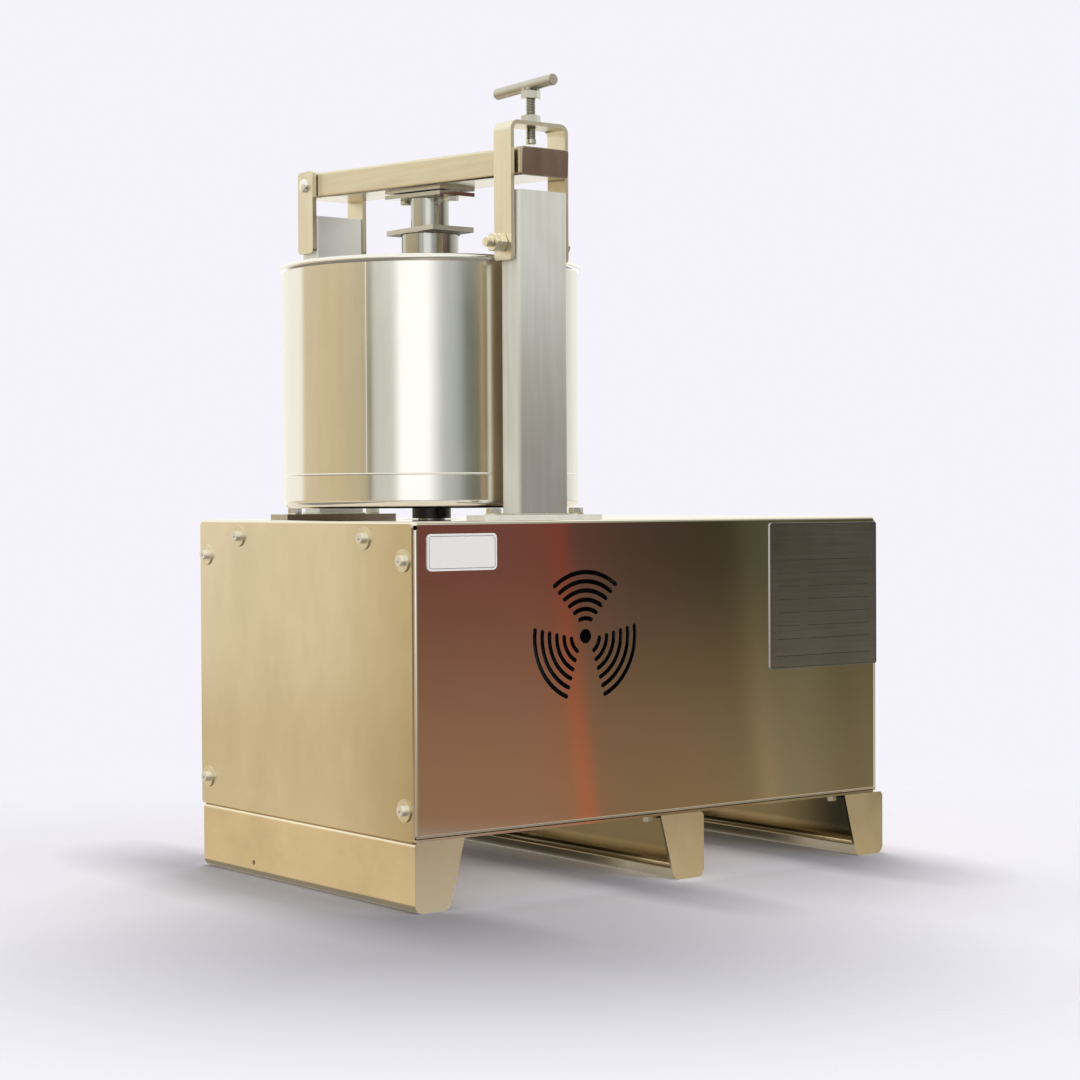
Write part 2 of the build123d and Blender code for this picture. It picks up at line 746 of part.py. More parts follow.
# Flat washers: wide ones under the panel screws, smaller ones under the foot bolts
with BuildPart() as flat_washers:
    for end in (-1, 1):
        for spot in end_screw_places(end):
            with BuildSketch(spot):
                Circle(washer_radius)
                Circle(panel_screw_radius + bolt_fit, mode=Mode.SUBTRACT)
            extrude(amount=washer_thickness)
    for x, y in foot_bolt_spots:
        with BuildSketch(upright(x, y, foot_top)):
            Circle(foot_washer_radius)
            Circle(foot_bolt_radius + bolt_fit, mode=Mode.SUBTRACT)
        extrude(amount=washer_thickness)
save(flat_washers, "flat_washers")

# Rear hinge: two ears on the post, with a bolt through them
ear_inner = post_width / 2
ear_outer = ear_inner + ear_thickness
with BuildPart() as hinge_ears:
    ear_top = hinge_z + ear_above_hinge
    for way in (-1, 1):
        with BuildSketch(across(drum_x + way * ear_inner, rear_post_y, (ear_top + ear_bottom) / 2, way)):
            RectangleRounded(post_depth, ear_top - ear_bottom, ear_corner_radius)
        extrude(amount=ear_thickness)
        bolt_hole = across(drum_x + way * ear_inner, rear_post_y, hinge_z, way)
        cut_disc(bolt_hole, hinge_bolt_radius + bolt_fit, ear_thickness)
save(hinge_ears, "hinge_ears")

with BuildPart() as hinge_bolt:
    head_seat = across(drum_x - ear_outer, rear_post_y, hinge_z, -1)
    add_disc(head_seat, hinge_head_radius, hinge_head_height)
    fillet(hinge_bolt.edges().group_by(Axis.X)[0], hinge_head_round)
    add_disc(head_seat, hinge_bolt_radius, -(2 * ear_outer + nut_height + thread_past_nut))
save(hinge_bolt, "hinge_bolt")

# Front pivot of the stirrup: a long bolt through the post
with BuildPart() as pivot_bolt:
    head_seat = across(drum_x + stirrup_outer + slide_gap, stirrup_y, stirrup_pivot_z)
    add_hexagon(head_seat, nut_flats, bolt_head_height)
    bolt_reach = 2 * (stirrup_outer + slide_gap) + nut_height + jam_nut_height + pivot_thread_past_nut
    add_disc(head_seat, pivot_bolt_radius, -bolt_reach)
save(pivot_bolt, "pivot_bolt")

# Nuts on the two pivots: one at the back, and a nut with a jam nut at the front
with BuildPart() as pivot_nuts:
    hinge_seat = across(drum_x + ear_outer, rear_post_y, hinge_z)
    add_hexagon(hinge_seat, nut_flats, nut_height)
    cut_disc(hinge_seat, hinge_bolt_radius + bolt_fit, nut_height)
    nut_seat = across(drum_x - stirrup_outer - slide_gap, stirrup_y, stirrup_pivot_z, -1)
    add_hexagon(nut_seat, nut_flats, nut_height - seat_gap)
    add_hexagon(nut_seat.offset(nut_height), nut_flats, jam_nut_height)
    cut_disc(nut_seat, pivot_bolt_radius + bolt_fit, nut_height + jam_nut_height)
save(pivot_nuts, "pivot_nuts")

# Beam: a tube laid flat, falling towards the front, hinged at the back on a bush
with BuildPart() as beam_tube:
    with BuildSketch(beam_plane.offset(-beam_rear_overhang)):
        RectangleRounded(beam_width, beam_height, beam_corner_radius)
        RectangleRounded(
            beam_width - 2 * beam_wall,
            beam_height - 2 * beam_wall,
            beam_inner_radius,
            mode=Mode.SUBTRACT,
        )
    extrude(amount=beam_rear_overhang + beam_length - end_cap_thickness)
    with BuildSketch(across(drum_x, rear_post_y, hinge_z)):
        Circle(hinge_bush_radius + bolt_fit)
    extrude(amount=beam_width / 2, both=True, mode=Mode.SUBTRACT)
save(beam_tube, "beam_tube")

with BuildPart() as beam_end_cap:
    with BuildSketch(beam_plane.offset(beam_length - end_cap_thickness)):
        RectangleRounded(beam_width, beam_height, beam_corner_radius)
    extrude(amount=end_cap_thickness)
    fillet(beam_end_cap.faces().sort_by(Axis.Y)[0].edges(), end_cap_edge)
save(beam_end_cap, "beam_end_cap")

with BuildPart() as hinge_bush:
    with BuildSketch(across(drum_x, rear_post_y, hinge_z)):
        Circle(hinge_bush_radius)
        Circle(hinge_bolt_radius + running_fit, mode=Mode.SUBTRACT)
    extrude(amount=post_width / 2 - slide_gap, both=True)
save(hinge_bush, "hinge_bush")

# Bolted plates under the beam, kept apart by pads, the lower one carrying the pressure tube
flange_plane = Plane(
    origin=beam_plane.from_local_coords((0, -beam_height / 2, rear_post_y / cos(slope))),
    x_dir=(1, 0, 0),
    z_dir=-beam_plane.y_dir,
)
flange_stack = flange_upper_thickness + flange_gap + flange_plate_thickness
with BuildPart() as beam_flange:
    with BuildSketch(flange_plane):
        Rectangle(flange_plate_width, flange_plate_length)
        with GridLocations(0, flange_bolt_spread, 1, 2):
            Circle(flange_bolt_radius + bolt_fit, mode=Mode.SUBTRACT)
    extrude(amount=flange_upper_thickness)
    with BuildSketch(flange_plane.offset(flange_upper_thickness)):
        with GridLocations(0, flange_bolt_spread, 1, 2):
            Circle(flange_pad_radius)
            Circle(flange_bolt_radius + bolt_fit, mode=Mode.SUBTRACT)
    extrude(amount=flange_gap)
save(beam_flange, "beam_flange")

with BuildPart() as pressure_tube:
    with BuildSketch(flange_plane.offset(flange_upper_thickness + flange_gap)):
        Rectangle(flange_plate_width, flange_plate_length)
        with GridLocations(0, flange_bolt_spread, 1, 2):
            Circle(flange_bolt_radius + bolt_fit, mode=Mode.SUBTRACT)
    extrude(amount=flange_plate_thickness)
    beam_mid_z = hinge_z - rear_post_y * tan(slope)
    tube_top = beam_mid_z - (beam_height + 2 * flange_stack - flange_plate_thickness) / (2 * cos(slope))
    tube_bore = pressure_tube_radius - pressure_tube_wall
    with BuildSketch(upright(drum_x, 0, pressure_tube_bottom)):
        Circle(pressure_tube_radius)
        Circle(tube_bore, mode=Mode.SUBTRACT)
    extrude(amount=tube_top - pressure_tube_bottom)
    with BuildSketch(upright(drum_x, 0, holder_plate_bottom - pressure_collar_gap, -1)):
        Circle(pressure_collar_radius)
        Circle(tube_bore, mode=Mode.SUBTRACT)
    extrude(amount=pressure_collar_height)
save(pressure_tube, "pressure_tube")

with BuildPart() as flange_bolts:
    for way in (-1, 1):
        spot = flange_plane.from_local_coords((0, way * flange_bolt_spread / 2, flange_stack))
        seat = Plane(origin=spot, x_dir=(1, 0, 0), z_dir=flange_plane.z_dir)
        add_hexagon(seat, flange_bolt_flats, flange_bolt_head)
        add_disc(seat, flange_bolt_radius, -flange_stack)
save(flange_bolts, "flange_bolts")

# Stone holder: a plate guided on the pressure tube, and a tube down to the roller axles
with BuildPart() as holder_plate:
    with BuildSketch(upright(drum_x, 0, holder_plate_bottom)):
        RectangleRounded(holder_plate_width, holder_plate_length, holder_plate_corner)
        Circle(pressure_tube_radius + slide_gap, mode=Mode.SUBTRACT)
    extrude(amount=holder_plate_thickness)
save(holder_plate, "holder_plate")

spring_bottom = pressure_tube_bottom - spring_length
with BuildPart() as holder_tube:
    with BuildSketch(upright(drum_x, 0, holder_tube_bottom)):
        Circle(holder_tube_radius)
        Circle(holder_bore, mode=Mode.SUBTRACT)
    extrude(amount=holder_plate_bottom - holder_tube_bottom)
    with BuildSketch(upright(drum_x, 0, spring_bottom, -1)):
        Circle(holder_tube_radius)
        Circle(spring_bore, mode=Mode.SUBTRACT)
    extrude(amount=spring_seat_thickness)
save(holder_tube, "holder_tube")

with BuildPart() as pressure_spring:
    with BuildSketch(upright(drum_x, 0, spring_bottom)):
        Circle(spring_radius)
        Circle(spring_bore, mode=Mode.SUBTRACT)
    extrude(amount=spring_length)
save(pressure_spring, "pressure_spring")

# Roller axles: stubs welded to the holder tube, each with a shoulder and a threaded end
axle_end = roller_end + axle_end_gap
with BuildPart() as roller_axles:
    for way in (-1, 1):
        shoulder_end = roller_start - axle_end_gap
        add_disc(across(drum_x, 0, axle_z, way), axle_shoulder_radius, shoulder_end)
        add_disc(across(drum_x, 0, axle_z, way), axle_radius, axle_end)
        thread_end = axle_end + axle_nut_height + thread_past_nut
        add_disc(across(drum_x, 0, axle_z, way), axle_thread_radius, thread_end)
    cut_disc(upright(drum_x, 0, holder_tube_bottom), holder_tube_radius, axle_z)
save(roller_axles, "roller_axles")

for way, side in ((-1, "left"), (1, "right")):
    with BuildPart() as roller_stone:
        with BuildSketch(across(drum_x + way * roller_start, 0, axle_z, way)):
            Circle(roller_radius)
            Circle(roller_bush_radius + bolt_fit, mode=Mode.SUBTRACT)
        extrude(amount=roller_length)
        chamfer(roller_stone.edges().filter_by(GeomType.CIRCLE).group_by(SortBy.RADIUS)[-1], roller_edge)
    save(roller_stone, f"{side}_roller_stone")

    with BuildPart() as roller_bush:
        with BuildSketch(across(drum_x + way * roller_start, 0, axle_z, way)):
            Circle(roller_bush_radius)
            Circle(axle_radius + running_fit, mode=Mode.SUBTRACT)
        extrude(amount=roller_length)
    save(roller_bush, f"{side}_roller_bush")

with BuildPart() as axle_nuts:
    for way in (-1, 1):
        seat = across(drum_x + way * axle_end, 0, axle_z, way)
        add_hexagon(seat, axle_nut_flats, axle_nut_height)
        cut_disc(seat, axle_thread_radius + bolt_fit, axle_nut_height)
save(axle_nuts, "axle_nuts")

# Scraper: a flat arm at the back of the holder tube with an upright blade near the drum wall
half_blade = scraper_blade_width / 2
blade_outer_y = ((drum_inner_radius - scraper_wall_gap) ** 2 - half_blade**2) ** 0.5
blade_inner_y = blade_outer_y - scraper_blade_thickness
with BuildPart() as scraper_arm:
    with BuildSketch(upright(drum_x, blade_inner_y / 2, scraper_arm_z)):
        Rectangle(scraper_arm_width, blade_inner_y)
    extrude(amount=scraper_arm_thickness)
    cut_disc(upright(drum_x, 0, scraper_arm_z), holder_tube_radius, scraper_arm_thickness)
save(scraper_arm, "scraper_arm")

with BuildPart() as scraper_blade:
    blade_top = scraper_arm_z + scraper_arm_thickness + scraper_blade_rise
    blade_bottom = stone_top + scraper_stone_gap
    with BuildSketch(upright(drum_x, blade_outer_y - scraper_blade_thickness / 2, blade_bottom)):
        RectangleRounded(scraper_blade_width, scraper_blade_thickness, scraper_blade_edge)
    extrude(amount=blade_top - blade_bottom)
save(scraper_blade, "scraper_blade")

# Stirrup: a flat bar bent over the beam, pivoting low on the front post
stirrup_up = stirrup_top - stirrup_pivot_z
stirrup_down = stirrup_pivot_z - stirrup_bottom
with BuildPart() as stirrup:
    with BuildSketch(stirrup_plane) as bent_bar:
        with Locations((0, (stirrup_up - stirrup_down) / 2)):
            Rectangle(2 * stirrup_outer, stirrup_up + stirrup_down)
        fillet(bent_bar.vertices().group_by(Axis.Y)[-1], stirrup_bend_radius)
        with BuildSketch(mode=Mode.PRIVATE) as inside:
            with Locations((0, (stirrup_up - stirrup_down) / 2 - stirrup_bar)):
                Rectangle(stirrup_gap, stirrup_up + stirrup_down)
            fillet(inside.vertices().group_by(Axis.Y)[-1], stirrup_bend_radius - stirrup_bar)
        add(inside.sketch, mode=Mode.SUBTRACT)
    extrude(amount=stirrup_width / 2, both=True)
    fillet(stirrup.edges().filter_by(Axis.X).group_by(Axis.Z)[0], stirrup_end_radius)
    with BuildSketch(across(drum_x, stirrup_y, stirrup_pivot_z)):
        Circle(pivot_bolt_radius + running_fit)
    extrude(amount=stirrup_outer, both=True, mode=Mode.SUBTRACT)
    cut_disc(upright(drum_x, stirrup_y, stirrup_top), screw_radius + slide_gap, -stirrup_bar)
save(stirrup, "stirrup")

with BuildPart() as stirrup_nut:
    add_hexagon(upright(drum_x, stirrup_y, stirrup_top), nut_flats, nut_height)
    cut_disc(upright(drum_x, stirrup_y, stirrup_top), screw_radius + running_fit, nut_height)
save(stirrup_nut, "stirrup_nut")

# Clamping screw: a nose that does not turn, and a rod with a cross bar on a nut
nose_top = nose_bottom + nose_height
with BuildPart() as clamp_nose:
    add_disc(upright(drum_x, stirrup_y, nose_bottom), screw_radius, nose_height)
    chamfer(clamp_nose.edges().group_by(Axis.Z)[0], nose_chamfer)
    cut_disc(upright(drum_x, stirrup_y, nose_top), screw_spigot_radius + running_fit,
             -(screw_spigot_length + seat_gap))
save(clamp_nose, "clamp_nose")

handle_nut_top = handle_nut_bottom + nut_height
with BuildPart() as clamp_screw:
    rod_bottom = nose_top + running_fit
    add_disc(upright(drum_x, stirrup_y, rod_bottom), screw_radius, handle_nut_top - rod_bottom)
    add_disc(upright(drum_x, stirrup_y, rod_bottom), screw_spigot_radius, -screw_spigot_length)
save(clamp_screw, "clamp_screw")

with BuildPart() as handle_nut:
    add_hexagon(upright(drum_x, stirrup_y, handle_nut_bottom), nut_flats, nut_height)
    cut_disc(upright(drum_x, stirrup_y, handle_nut_bottom), screw_radius + bolt_fit, nut_height)
save(handle_nut, "handle_nut")

with BuildPart() as handle_bar:
    turn = radians(handle_bar_turn)
    bar_plane = Plane(
        origin=(drum_x, stirrup_y, handle_bar_z), x_dir=(0, 0, 1), z_dir=(-sin(turn), -cos(turn), 0)
    )
    bar_rear = handle_bar_length / 2 + handle_bar_offset
    add_disc(bar_plane.offset(-bar_rear), handle_bar_radius, handle_bar_length)
    chamfer(handle_bar.edges().filter_by(GeomType.CIRCLE), handle_bar_chamfer)
save(handle_bar, "handle_bar")

# Switch and appliance inlet in the right end panel
with BuildPart() as switch_body:
    face = across(panel_outer, switch_y, switch_z)
    with BuildSketch(face):
        Rectangle(switch_width, switch_height)
    extrude(amount=-switch_depth)
    with BuildSketch(face):
        RectangleRounded(
            switch_width + 2 * switch_bezel_lip, switch_height + 2 * switch_bezel_lip, switch_bezel_corner
        )
    extrude(amount=switch_bezel)
    with BuildSketch(face.offset(switch_bezel)):
        Rectangle(rocker_width + 2 * rocker_gap, rocker_height + 2 * rocker_gap)
    extrude(amount=-rocker_pocket, mode=Mode.SUBTRACT)
    with BuildSketch(Plane(origin=(panel_outer, switch_y, switch_z), x_dir=(1, 0, 0), z_dir=(0, 1, 0))):
        Circle(rocker_pin_radius + running_fit)
    extrude(amount=rocker_width / 2 + rocker_gap + rocker_pin_grip, both=True, mode=Mode.SUBTRACT)
save(switch_body, "switch_body")

with BuildPart() as rocker:
    rest_tilt = radians(rocker_throw / 2)
    tilt_plane = Plane(
        origin=(panel_outer, switch_y, switch_z), x_dir=(cos(rest_tilt), 0, sin(rest_tilt)), z_dir=(0, 1, 0)
    )
    proud = switch_bezel + rocker_swell
    with BuildSketch(tilt_plane):
        with BuildLine():
            Polyline(
                (-rocker_swell, -rocker_height / 2 + rocker_gap),
                (proud, -rocker_height / 2 + rocker_gap),
                (switch_bezel, 0),
                (proud, rocker_height / 2 - rocker_gap),
                (-rocker_swell, rocker_height / 2 - rocker_gap),
                close=True,
            )
        make_face()
    extrude(amount=rocker_width / 2, both=True)
    with BuildSketch(tilt_plane):
        Circle(rocker_pin_radius)
    extrude(amount=rocker_width / 2 + rocker_gap + rocker_pin_grip - running_fit, both=True)
save(rocker, "rocker")

with BuildPart() as power_inlet:
    face = across(panel_outer, switch_y, switch_z - inlet_drop)
    with BuildSketch(face):
        Rectangle(inlet_width, inlet_height)
    extrude(amount=-inlet_depth)
    with BuildSketch(face):
        RectangleRounded(
            inlet_width + 2 * switch_bezel_lip, inlet_height + 2 * switch_bezel_lip, switch_bezel_corner
        )
    extrude(amount=switch_bezel)
    with BuildSketch(face.offset(switch_bezel)):
        RectangleRounded(inlet_socket_width, inlet_socket_height, inlet_socket_corner)
    extrude(amount=-inlet_recess, mode=Mode.SUBTRACT)
    with BuildSketch(face.offset(switch_bezel - inlet_recess)):
        Rectangle(inlet_pin_thickness, inlet_pin_height)
        with GridLocations(2 * inlet_pin_pitch, 0, 2, 1):
            Rectangle(inlet_pin_thickness, inlet_pin_height)
    extrude(amount=inlet_recess - switch_bezel)
save(power_inlet, "power_inlet")
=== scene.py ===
# %% [markdown]
# # A chocolate grinder in Blender
# The machine's solids come from a imported model: a sheet-metal cabinet on three folded legs, a steel drum that
# turns on it, and a beam that presses stone rollers into the drum. This lesson gives those solids their
# finishes, adds the small things that solids leave out, such as threads, weld beads and bare plates, and sets
# up the camera and the studio. The frame is loaded first, because every later piece is placed by it.

# %% Load the frame
from math import cos, pi, radians, sin, sqrt

import bmesh
import bpy
from mathutils import Matrix, Vector


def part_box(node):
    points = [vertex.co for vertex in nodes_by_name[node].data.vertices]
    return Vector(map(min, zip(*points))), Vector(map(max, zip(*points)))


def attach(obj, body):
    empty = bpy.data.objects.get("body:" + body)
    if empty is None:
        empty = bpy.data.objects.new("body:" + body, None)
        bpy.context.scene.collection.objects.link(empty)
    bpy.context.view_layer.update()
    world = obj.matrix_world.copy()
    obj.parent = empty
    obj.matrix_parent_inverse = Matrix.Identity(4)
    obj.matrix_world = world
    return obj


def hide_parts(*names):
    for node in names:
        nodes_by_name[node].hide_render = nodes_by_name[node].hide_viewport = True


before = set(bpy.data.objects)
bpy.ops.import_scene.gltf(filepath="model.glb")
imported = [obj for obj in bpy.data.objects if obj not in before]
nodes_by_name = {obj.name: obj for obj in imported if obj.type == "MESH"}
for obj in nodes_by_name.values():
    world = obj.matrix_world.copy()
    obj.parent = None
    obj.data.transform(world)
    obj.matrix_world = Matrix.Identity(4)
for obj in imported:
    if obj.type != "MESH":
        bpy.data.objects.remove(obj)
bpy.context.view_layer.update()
scene = bpy.context.scene
scene.view_settings.view_transform = "Standard"

# %% [markdown]
# ## The camera
# The photograph was taken with a long lens from the height of the cabinet, a little to its left. The camera
# could be placed by eye, but the cabinet's corners fix it well: its place, turn, tilt and lens below were
# fitted to them. The turn, the tilt and a small roll give the three axes of the camera, which go into its
# matrix as columns.

# %% Camera
camera_place = Vector((-1.5766, -2.0423, 0.3915))
camera_turn, camera_tilt, camera_roll = radians(37.61), radians(-1.01), radians(0.29)
ahead = Vector((sin(camera_turn) * cos(camera_tilt), cos(camera_turn) * cos(camera_tilt), sin(camera_tilt)))
across = Vector((cos(camera_turn), -sin(camera_turn), 0))
below = ahead.cross(across)
side = cos(camera_roll) * across + sin(camera_roll) * below
down = cos(camera_roll) * below - sin(camera_roll) * across

camera_data = bpy.data.cameras.new("photo_camera")
camera_data.sensor_width = 36
camera_data.lens = 79.43
camera_data.clip_end = 200
camera = bpy.data.objects.new("photo_camera", camera_data)
scene.collection.objects.link(camera)
camera.matrix_world = Matrix.Translation(camera_place) @ Matrix((side, -down, -ahead)).transposed().to_4x4()
scene.camera = camera
print("camera at", [round(v, 3) for v in camera_place])

# %% [markdown]
# ## Helpers
# A material in Blender is a graph of nodes. Written out, each node takes a line to make it and a line for
# each link. The functions below make a node, feed it with numbers or with other nodes' results, and hand on
# its own result, so that a pattern further down reads like a sum. The last one turns a finished bmesh into an
# object.

# %% Helpers for nodes
def add_node(tree, kind, **settings):
    """A shader node with some of its settings and input values set by name."""
    node = tree.nodes.new(kind)
    for name, value in settings.items():
        if name in node.inputs:
            node.inputs[name].default_value = value
        else:
            setattr(node, name, value)
    return node


def feed(tree, socket, value):
    """Links a socket to another one, or sets its value."""
    if isinstance(value, bpy.types.NodeSocket):
        tree.links.new(value, socket)
    else:
        socket.default_value = value


def calculate(tree, operation, *values, clamp=False):
    """The result of an operation on numbers."""
    node = add_node(tree, "ShaderNodeMath", operation=operation, use_clamp=clamp)
    for socket, value in zip(node.inputs, values):
        feed(tree, socket, value)
    return node.outputs[0]


def calculate_vector(tree, operation, *values):
    """The result of an operation on vectors."""
    node = add_node(tree, "ShaderNodeVectorMath", operation=operation)
    for socket, value in zip(node.inputs, values):
        feed(tree, socket, value)
    return node.outputs["Value" if operation in ("LENGTH", "DISTANCE") else "Vector"]


def map_span(tree, value, low, high, first=0.0, last=1.0, curve="SMOOTHSTEP"):
    """Runs from one number to another while a value runs from low to high."""
    node = add_node(tree, "ShaderNodeMapRange", interpolation_type=curve)
    for name, number in (("From Min", low), ("From Max", high), ("To Min", first), ("To Max", last)):
        node.inputs[name].default_value = number
    tree.links.new(value, node.inputs["Value"])
    return node.outputs["Result"]


def object_place(tree):
    """Object coordinates, which stay on a piece wherever it moves."""
    return tree.nodes.new("ShaderNodeTexCoord").outputs["Object"]


def split(tree, vector):
    """The X, Y and Z of a vector, by name."""
    node = tree.nodes.new("ShaderNodeSeparateXYZ")
    tree.links.new(vector, node.inputs["Vector"])
    return node.outputs


# %% Helpers for colours, shaders and meshes
def add_ramp(tree, factor, stops):
    """A colour ramp over a factor, from pairs of a place and a colour."""
    ramp = tree.nodes.new("ShaderNodeValToRGB")
    elements = ramp.color_ramp.elements
    while len(elements) < len(stops):
        elements.new(0.5)
    for element, (place, colour) in zip(elements, stops):
        element.position = place
        element.color = (*colour, 1)
    tree.links.new(factor, ramp.inputs["Fac"])
    return ramp.outputs["Color"]


def colour_socket(sockets, name):
    """The colour socket of that name on a mix node, which has one for each kind of data."""
    return next(s for s in sockets if s.name == name and s.type == "RGBA")


def mix_colours(tree, share, first, second, blend="MIX"):
    """Blends a second colour into a first one."""
    node = add_node(tree, "ShaderNodeMix", data_type="RGBA", blend_type=blend)
    feed(tree, node.inputs["Factor"], share)
    feed(tree, colour_socket(node.inputs, "A"), first)
    feed(tree, colour_socket(node.inputs, "B"), second)
    return colour_socket(node.outputs, "Result")


def mix_shaders(tree, share, first, second):
    """Blends a second shader into a first one."""
    node = tree.nodes.new("ShaderNodeMixShader")
    tree.links.new(share, node.inputs["Fac"])
    tree.links.new(first.outputs[0], node.inputs[1])
    tree.links.new(second.outputs[0], node.inputs[2])
    return node.outputs[0]


def to_object(mesh, name):
    """Turns a bmesh into an object with outward faces."""
    bmesh.ops.remove_doubles(mesh, verts=mesh.verts, dist=1e-6)
    bmesh.ops.recalc_face_normals(mesh, faces=mesh.faces)
    data = bpy.data.meshes.new(name)
    mesh.to_mesh(data)
    mesh.free()
    obj = bpy.data.objects.new(name, data)
    scene.collection.objects.link(obj)
    return obj


# %% [markdown]
# ## The air
# The background is a pale lavender. The world could light the machine with it, but then all metal would turn
# lavender too. So it shows that colour to the camera and in reflections only, and lights matt surfaces with a
# plain white.

# %% World
air_colour = (0.913, 0.896, 0.965)
white_light = 0.5
world = bpy.data.worlds.new("studio_air")
scene.world = world
world.use_nodes = True
tree = world.node_tree
tree.nodes.clear()
rays = tree.nodes.new("ShaderNodeLightPath").outputs
seen = calculate(tree, "MAXIMUM", rays["Is Camera Ray"], rays["Is Glossy Ray"])
seen = calculate(tree, "MAXIMUM", seen, rays["Is Transmission Ray"])
plain = add_node(tree, "ShaderNodeBackground", Color=(1, 1, 1, 1), Strength=white_light)
shown = add_node(tree, "ShaderNodeBackground", Color=(*air_colour, 1), Strength=1.0)
out = tree.nodes.new("ShaderNodeOutputWorld")
tree.links.new(mix_shaders(tree, seen, plain, shown), out.inputs["Surface"])
print("world colour", air_colour)

# %% [markdown]
# ## The floor
# The machine stands on a pale floor that runs into the background with no line between them. A curved
# backdrop would do that, but a flat disc is simpler: near the machine it takes shadows as any matt floor
# does, and further out it fades to clear. At the front left the floor is greyer, with a darker streak along
# each leg and a lighter patch below the cabinet. These are painted shadows and painted light: lamps for them
# would be hard to steer, so they are painted into the floor's colour, as ramps over the distance from a point
# or from a rectangle. Folding the way across the machine makes one streak serve for three legs.

# %% Floor disc
floor_radius = 2.2
mesh = bmesh.new()
bmesh.ops.create_circle(mesh, cap_ends=True, segments=96, radius=floor_radius)
floor = to_object(mesh, "studio_floor")
floor.visible_glossy = False
print("floor radius", floor_radius, "m")


# %% Shades of the floor
def distance_outside(tree, across, along, half_width, half_length, stretch=1.0):
    """The distance from a rectangle, counted more across it than along it."""
    spot = tree.nodes.new("ShaderNodeCombineXYZ")
    tree.links.new(across, spot.inputs["X"])
    tree.links.new(along, spot.inputs["Y"])
    beyond = calculate_vector(tree, "SUBTRACT", spot.outputs[0], (half_width, half_length, 0))
    outside = calculate_vector(tree, "MAXIMUM", beyond, (0, 0, 0))
    return calculate_vector(tree, "LENGTH", calculate_vector(tree, "MULTIPLY", outside, (stretch, 1, 1)))


legs_middle, leg_spacing = -0.035, 0.265
shadow_pool_centre = (-0.50, -0.58, 0)
fade_start, fade_end = 0.4, 1.1
streak_half_width, streak_half_length = 0.0125, 0.20
streak_stretch, outer_stretch = 4.8, 0.45
patch_half_width, patch_half_length = 0.23, 0.13
# Painted shadows: a grey pool at the front left and a darker streak along each leg. Painted light: a lighter
# patch below the cabinet.
front_pool_painted_shadow = [(0.0, (0.50, 0.49, 0.53)), (0.22, (0.54, 0.53, 0.57)), (0.56, air_colour)]
leg_streak_painted_shadow = [(0.0, (0.54, 0.54, 0.55)), (0.12, (0.80, 0.80, 0.81)), (0.24, (1.0, 1.0, 1.0))]
under_cabinet_painted_light = [(0.0, (1.65, 1.68, 1.72)), (0.02, (1.55, 1.57, 1.6)), (0.10, (1.0, 1.0, 1.0))]

finish = bpy.data.materials.new("pale_floor")
finish.use_nodes = True
tree = finish.node_tree
tree.nodes.clear()
place = object_place(tree)
axes = split(tree, place)
along = calculate(tree, "ABSOLUTE", axes["Y"])
from_middle = calculate(tree, "SUBTRACT", axes["X"], legs_middle)
outward = calculate(tree, "ABSOLUTE", from_middle)
between_legs = calculate(tree, "MAXIMUM", from_middle, -leg_spacing)
between_legs = calculate(tree, "MINIMUM", between_legs, leg_spacing)
folded = calculate(tree, "PINGPONG", between_legs, leg_spacing / 2)
past_legs = calculate(tree, "SUBTRACT", outward, leg_spacing, clamp=True)
aside = calculate(tree, "MULTIPLY_ADD", past_legs, outer_stretch, folded)
from_streak = distance_outside(tree, aside, along, streak_half_width, streak_half_length, streak_stretch)
from_patch = distance_outside(tree, outward, along, patch_half_width, patch_half_length)
colour = add_ramp(tree, calculate_vector(tree, "DISTANCE", place, shadow_pool_centre), front_pool_painted_shadow)
for distance, greys in ((from_streak, leg_streak_painted_shadow), (from_patch, under_cabinet_painted_light)):
    colour = mix_colours(tree, 1.0, colour, add_ramp(tree, distance, greys), "MULTIPLY")

matt = tree.nodes.new("ShaderNodeBsdfDiffuse")
clear = tree.nodes.new("ShaderNodeBsdfTransparent")
out = tree.nodes.new("ShaderNodeOutputMaterial")
fade = map_span(tree, calculate_vector(tree, "LENGTH", place), fade_start, fade_end)
tree.links.new(colour, matt.inputs["Color"])
tree.links.new(mix_shaders(tree, fade, matt, clear), out.inputs["Surface"])
floor.data.materials.append(finish)
print("floor fades between", fade_start, "and", fade_end, "m")

# %% [markdown]
# ## What the metal mirrors
# Bare steel has hardly a colour of its own: it shows the room. The photograph's drum tells what stood round
# it: a bright window to the left of the camera, a tan wall further left and behind, a dark doorway to the
# right with something red in it. A picture of a room could be wrapped round the scene, but a few bands of
# colour on a far round wall do the same and stay easy to change. The wall is hidden from the camera and
# throws no light on matt surfaces.

# %% Reflection wall
wall_radius, wall_height, wall_sink = 30, 34, 12
mesh = bmesh.new()
bmesh.ops.create_circle(mesh, cap_ends=False, segments=128, radius=wall_radius)
raised = bmesh.ops.extrude_edge_only(mesh, edges=mesh.edges[:])
top = [v for v in raised["geom"] if isinstance(v, bmesh.types.BMVert)]
bmesh.ops.translate(mesh, vec=(0, 0, wall_height), verts=top)
bmesh.ops.translate(mesh, vec=(0, 0, -wall_sink), verts=mesh.verts)
bmesh.ops.holes_fill(mesh, edges=mesh.edges[:])
wall = to_object(mesh, "reflection_wall")
wall.visible_camera = False
wall.visible_diffuse = False
wall.visible_shadow = False
print("wall radius", wall_radius, "m, height", wall_height, "m")

# %% [markdown]
# ## Bands on the wall
# Each band is a place on the round, from 0 to 1, and a colour. One set of bands stands for the room's walls,
# two more for its floor, far off and close by, and one for the ceiling. Straight below, one colour is enough.
# The narrow edges of the doorway get a ramp of their own over a small part of the round, because a long ramp
# blurs what is narrow. The bands lean a little, as the red one does in the photograph.

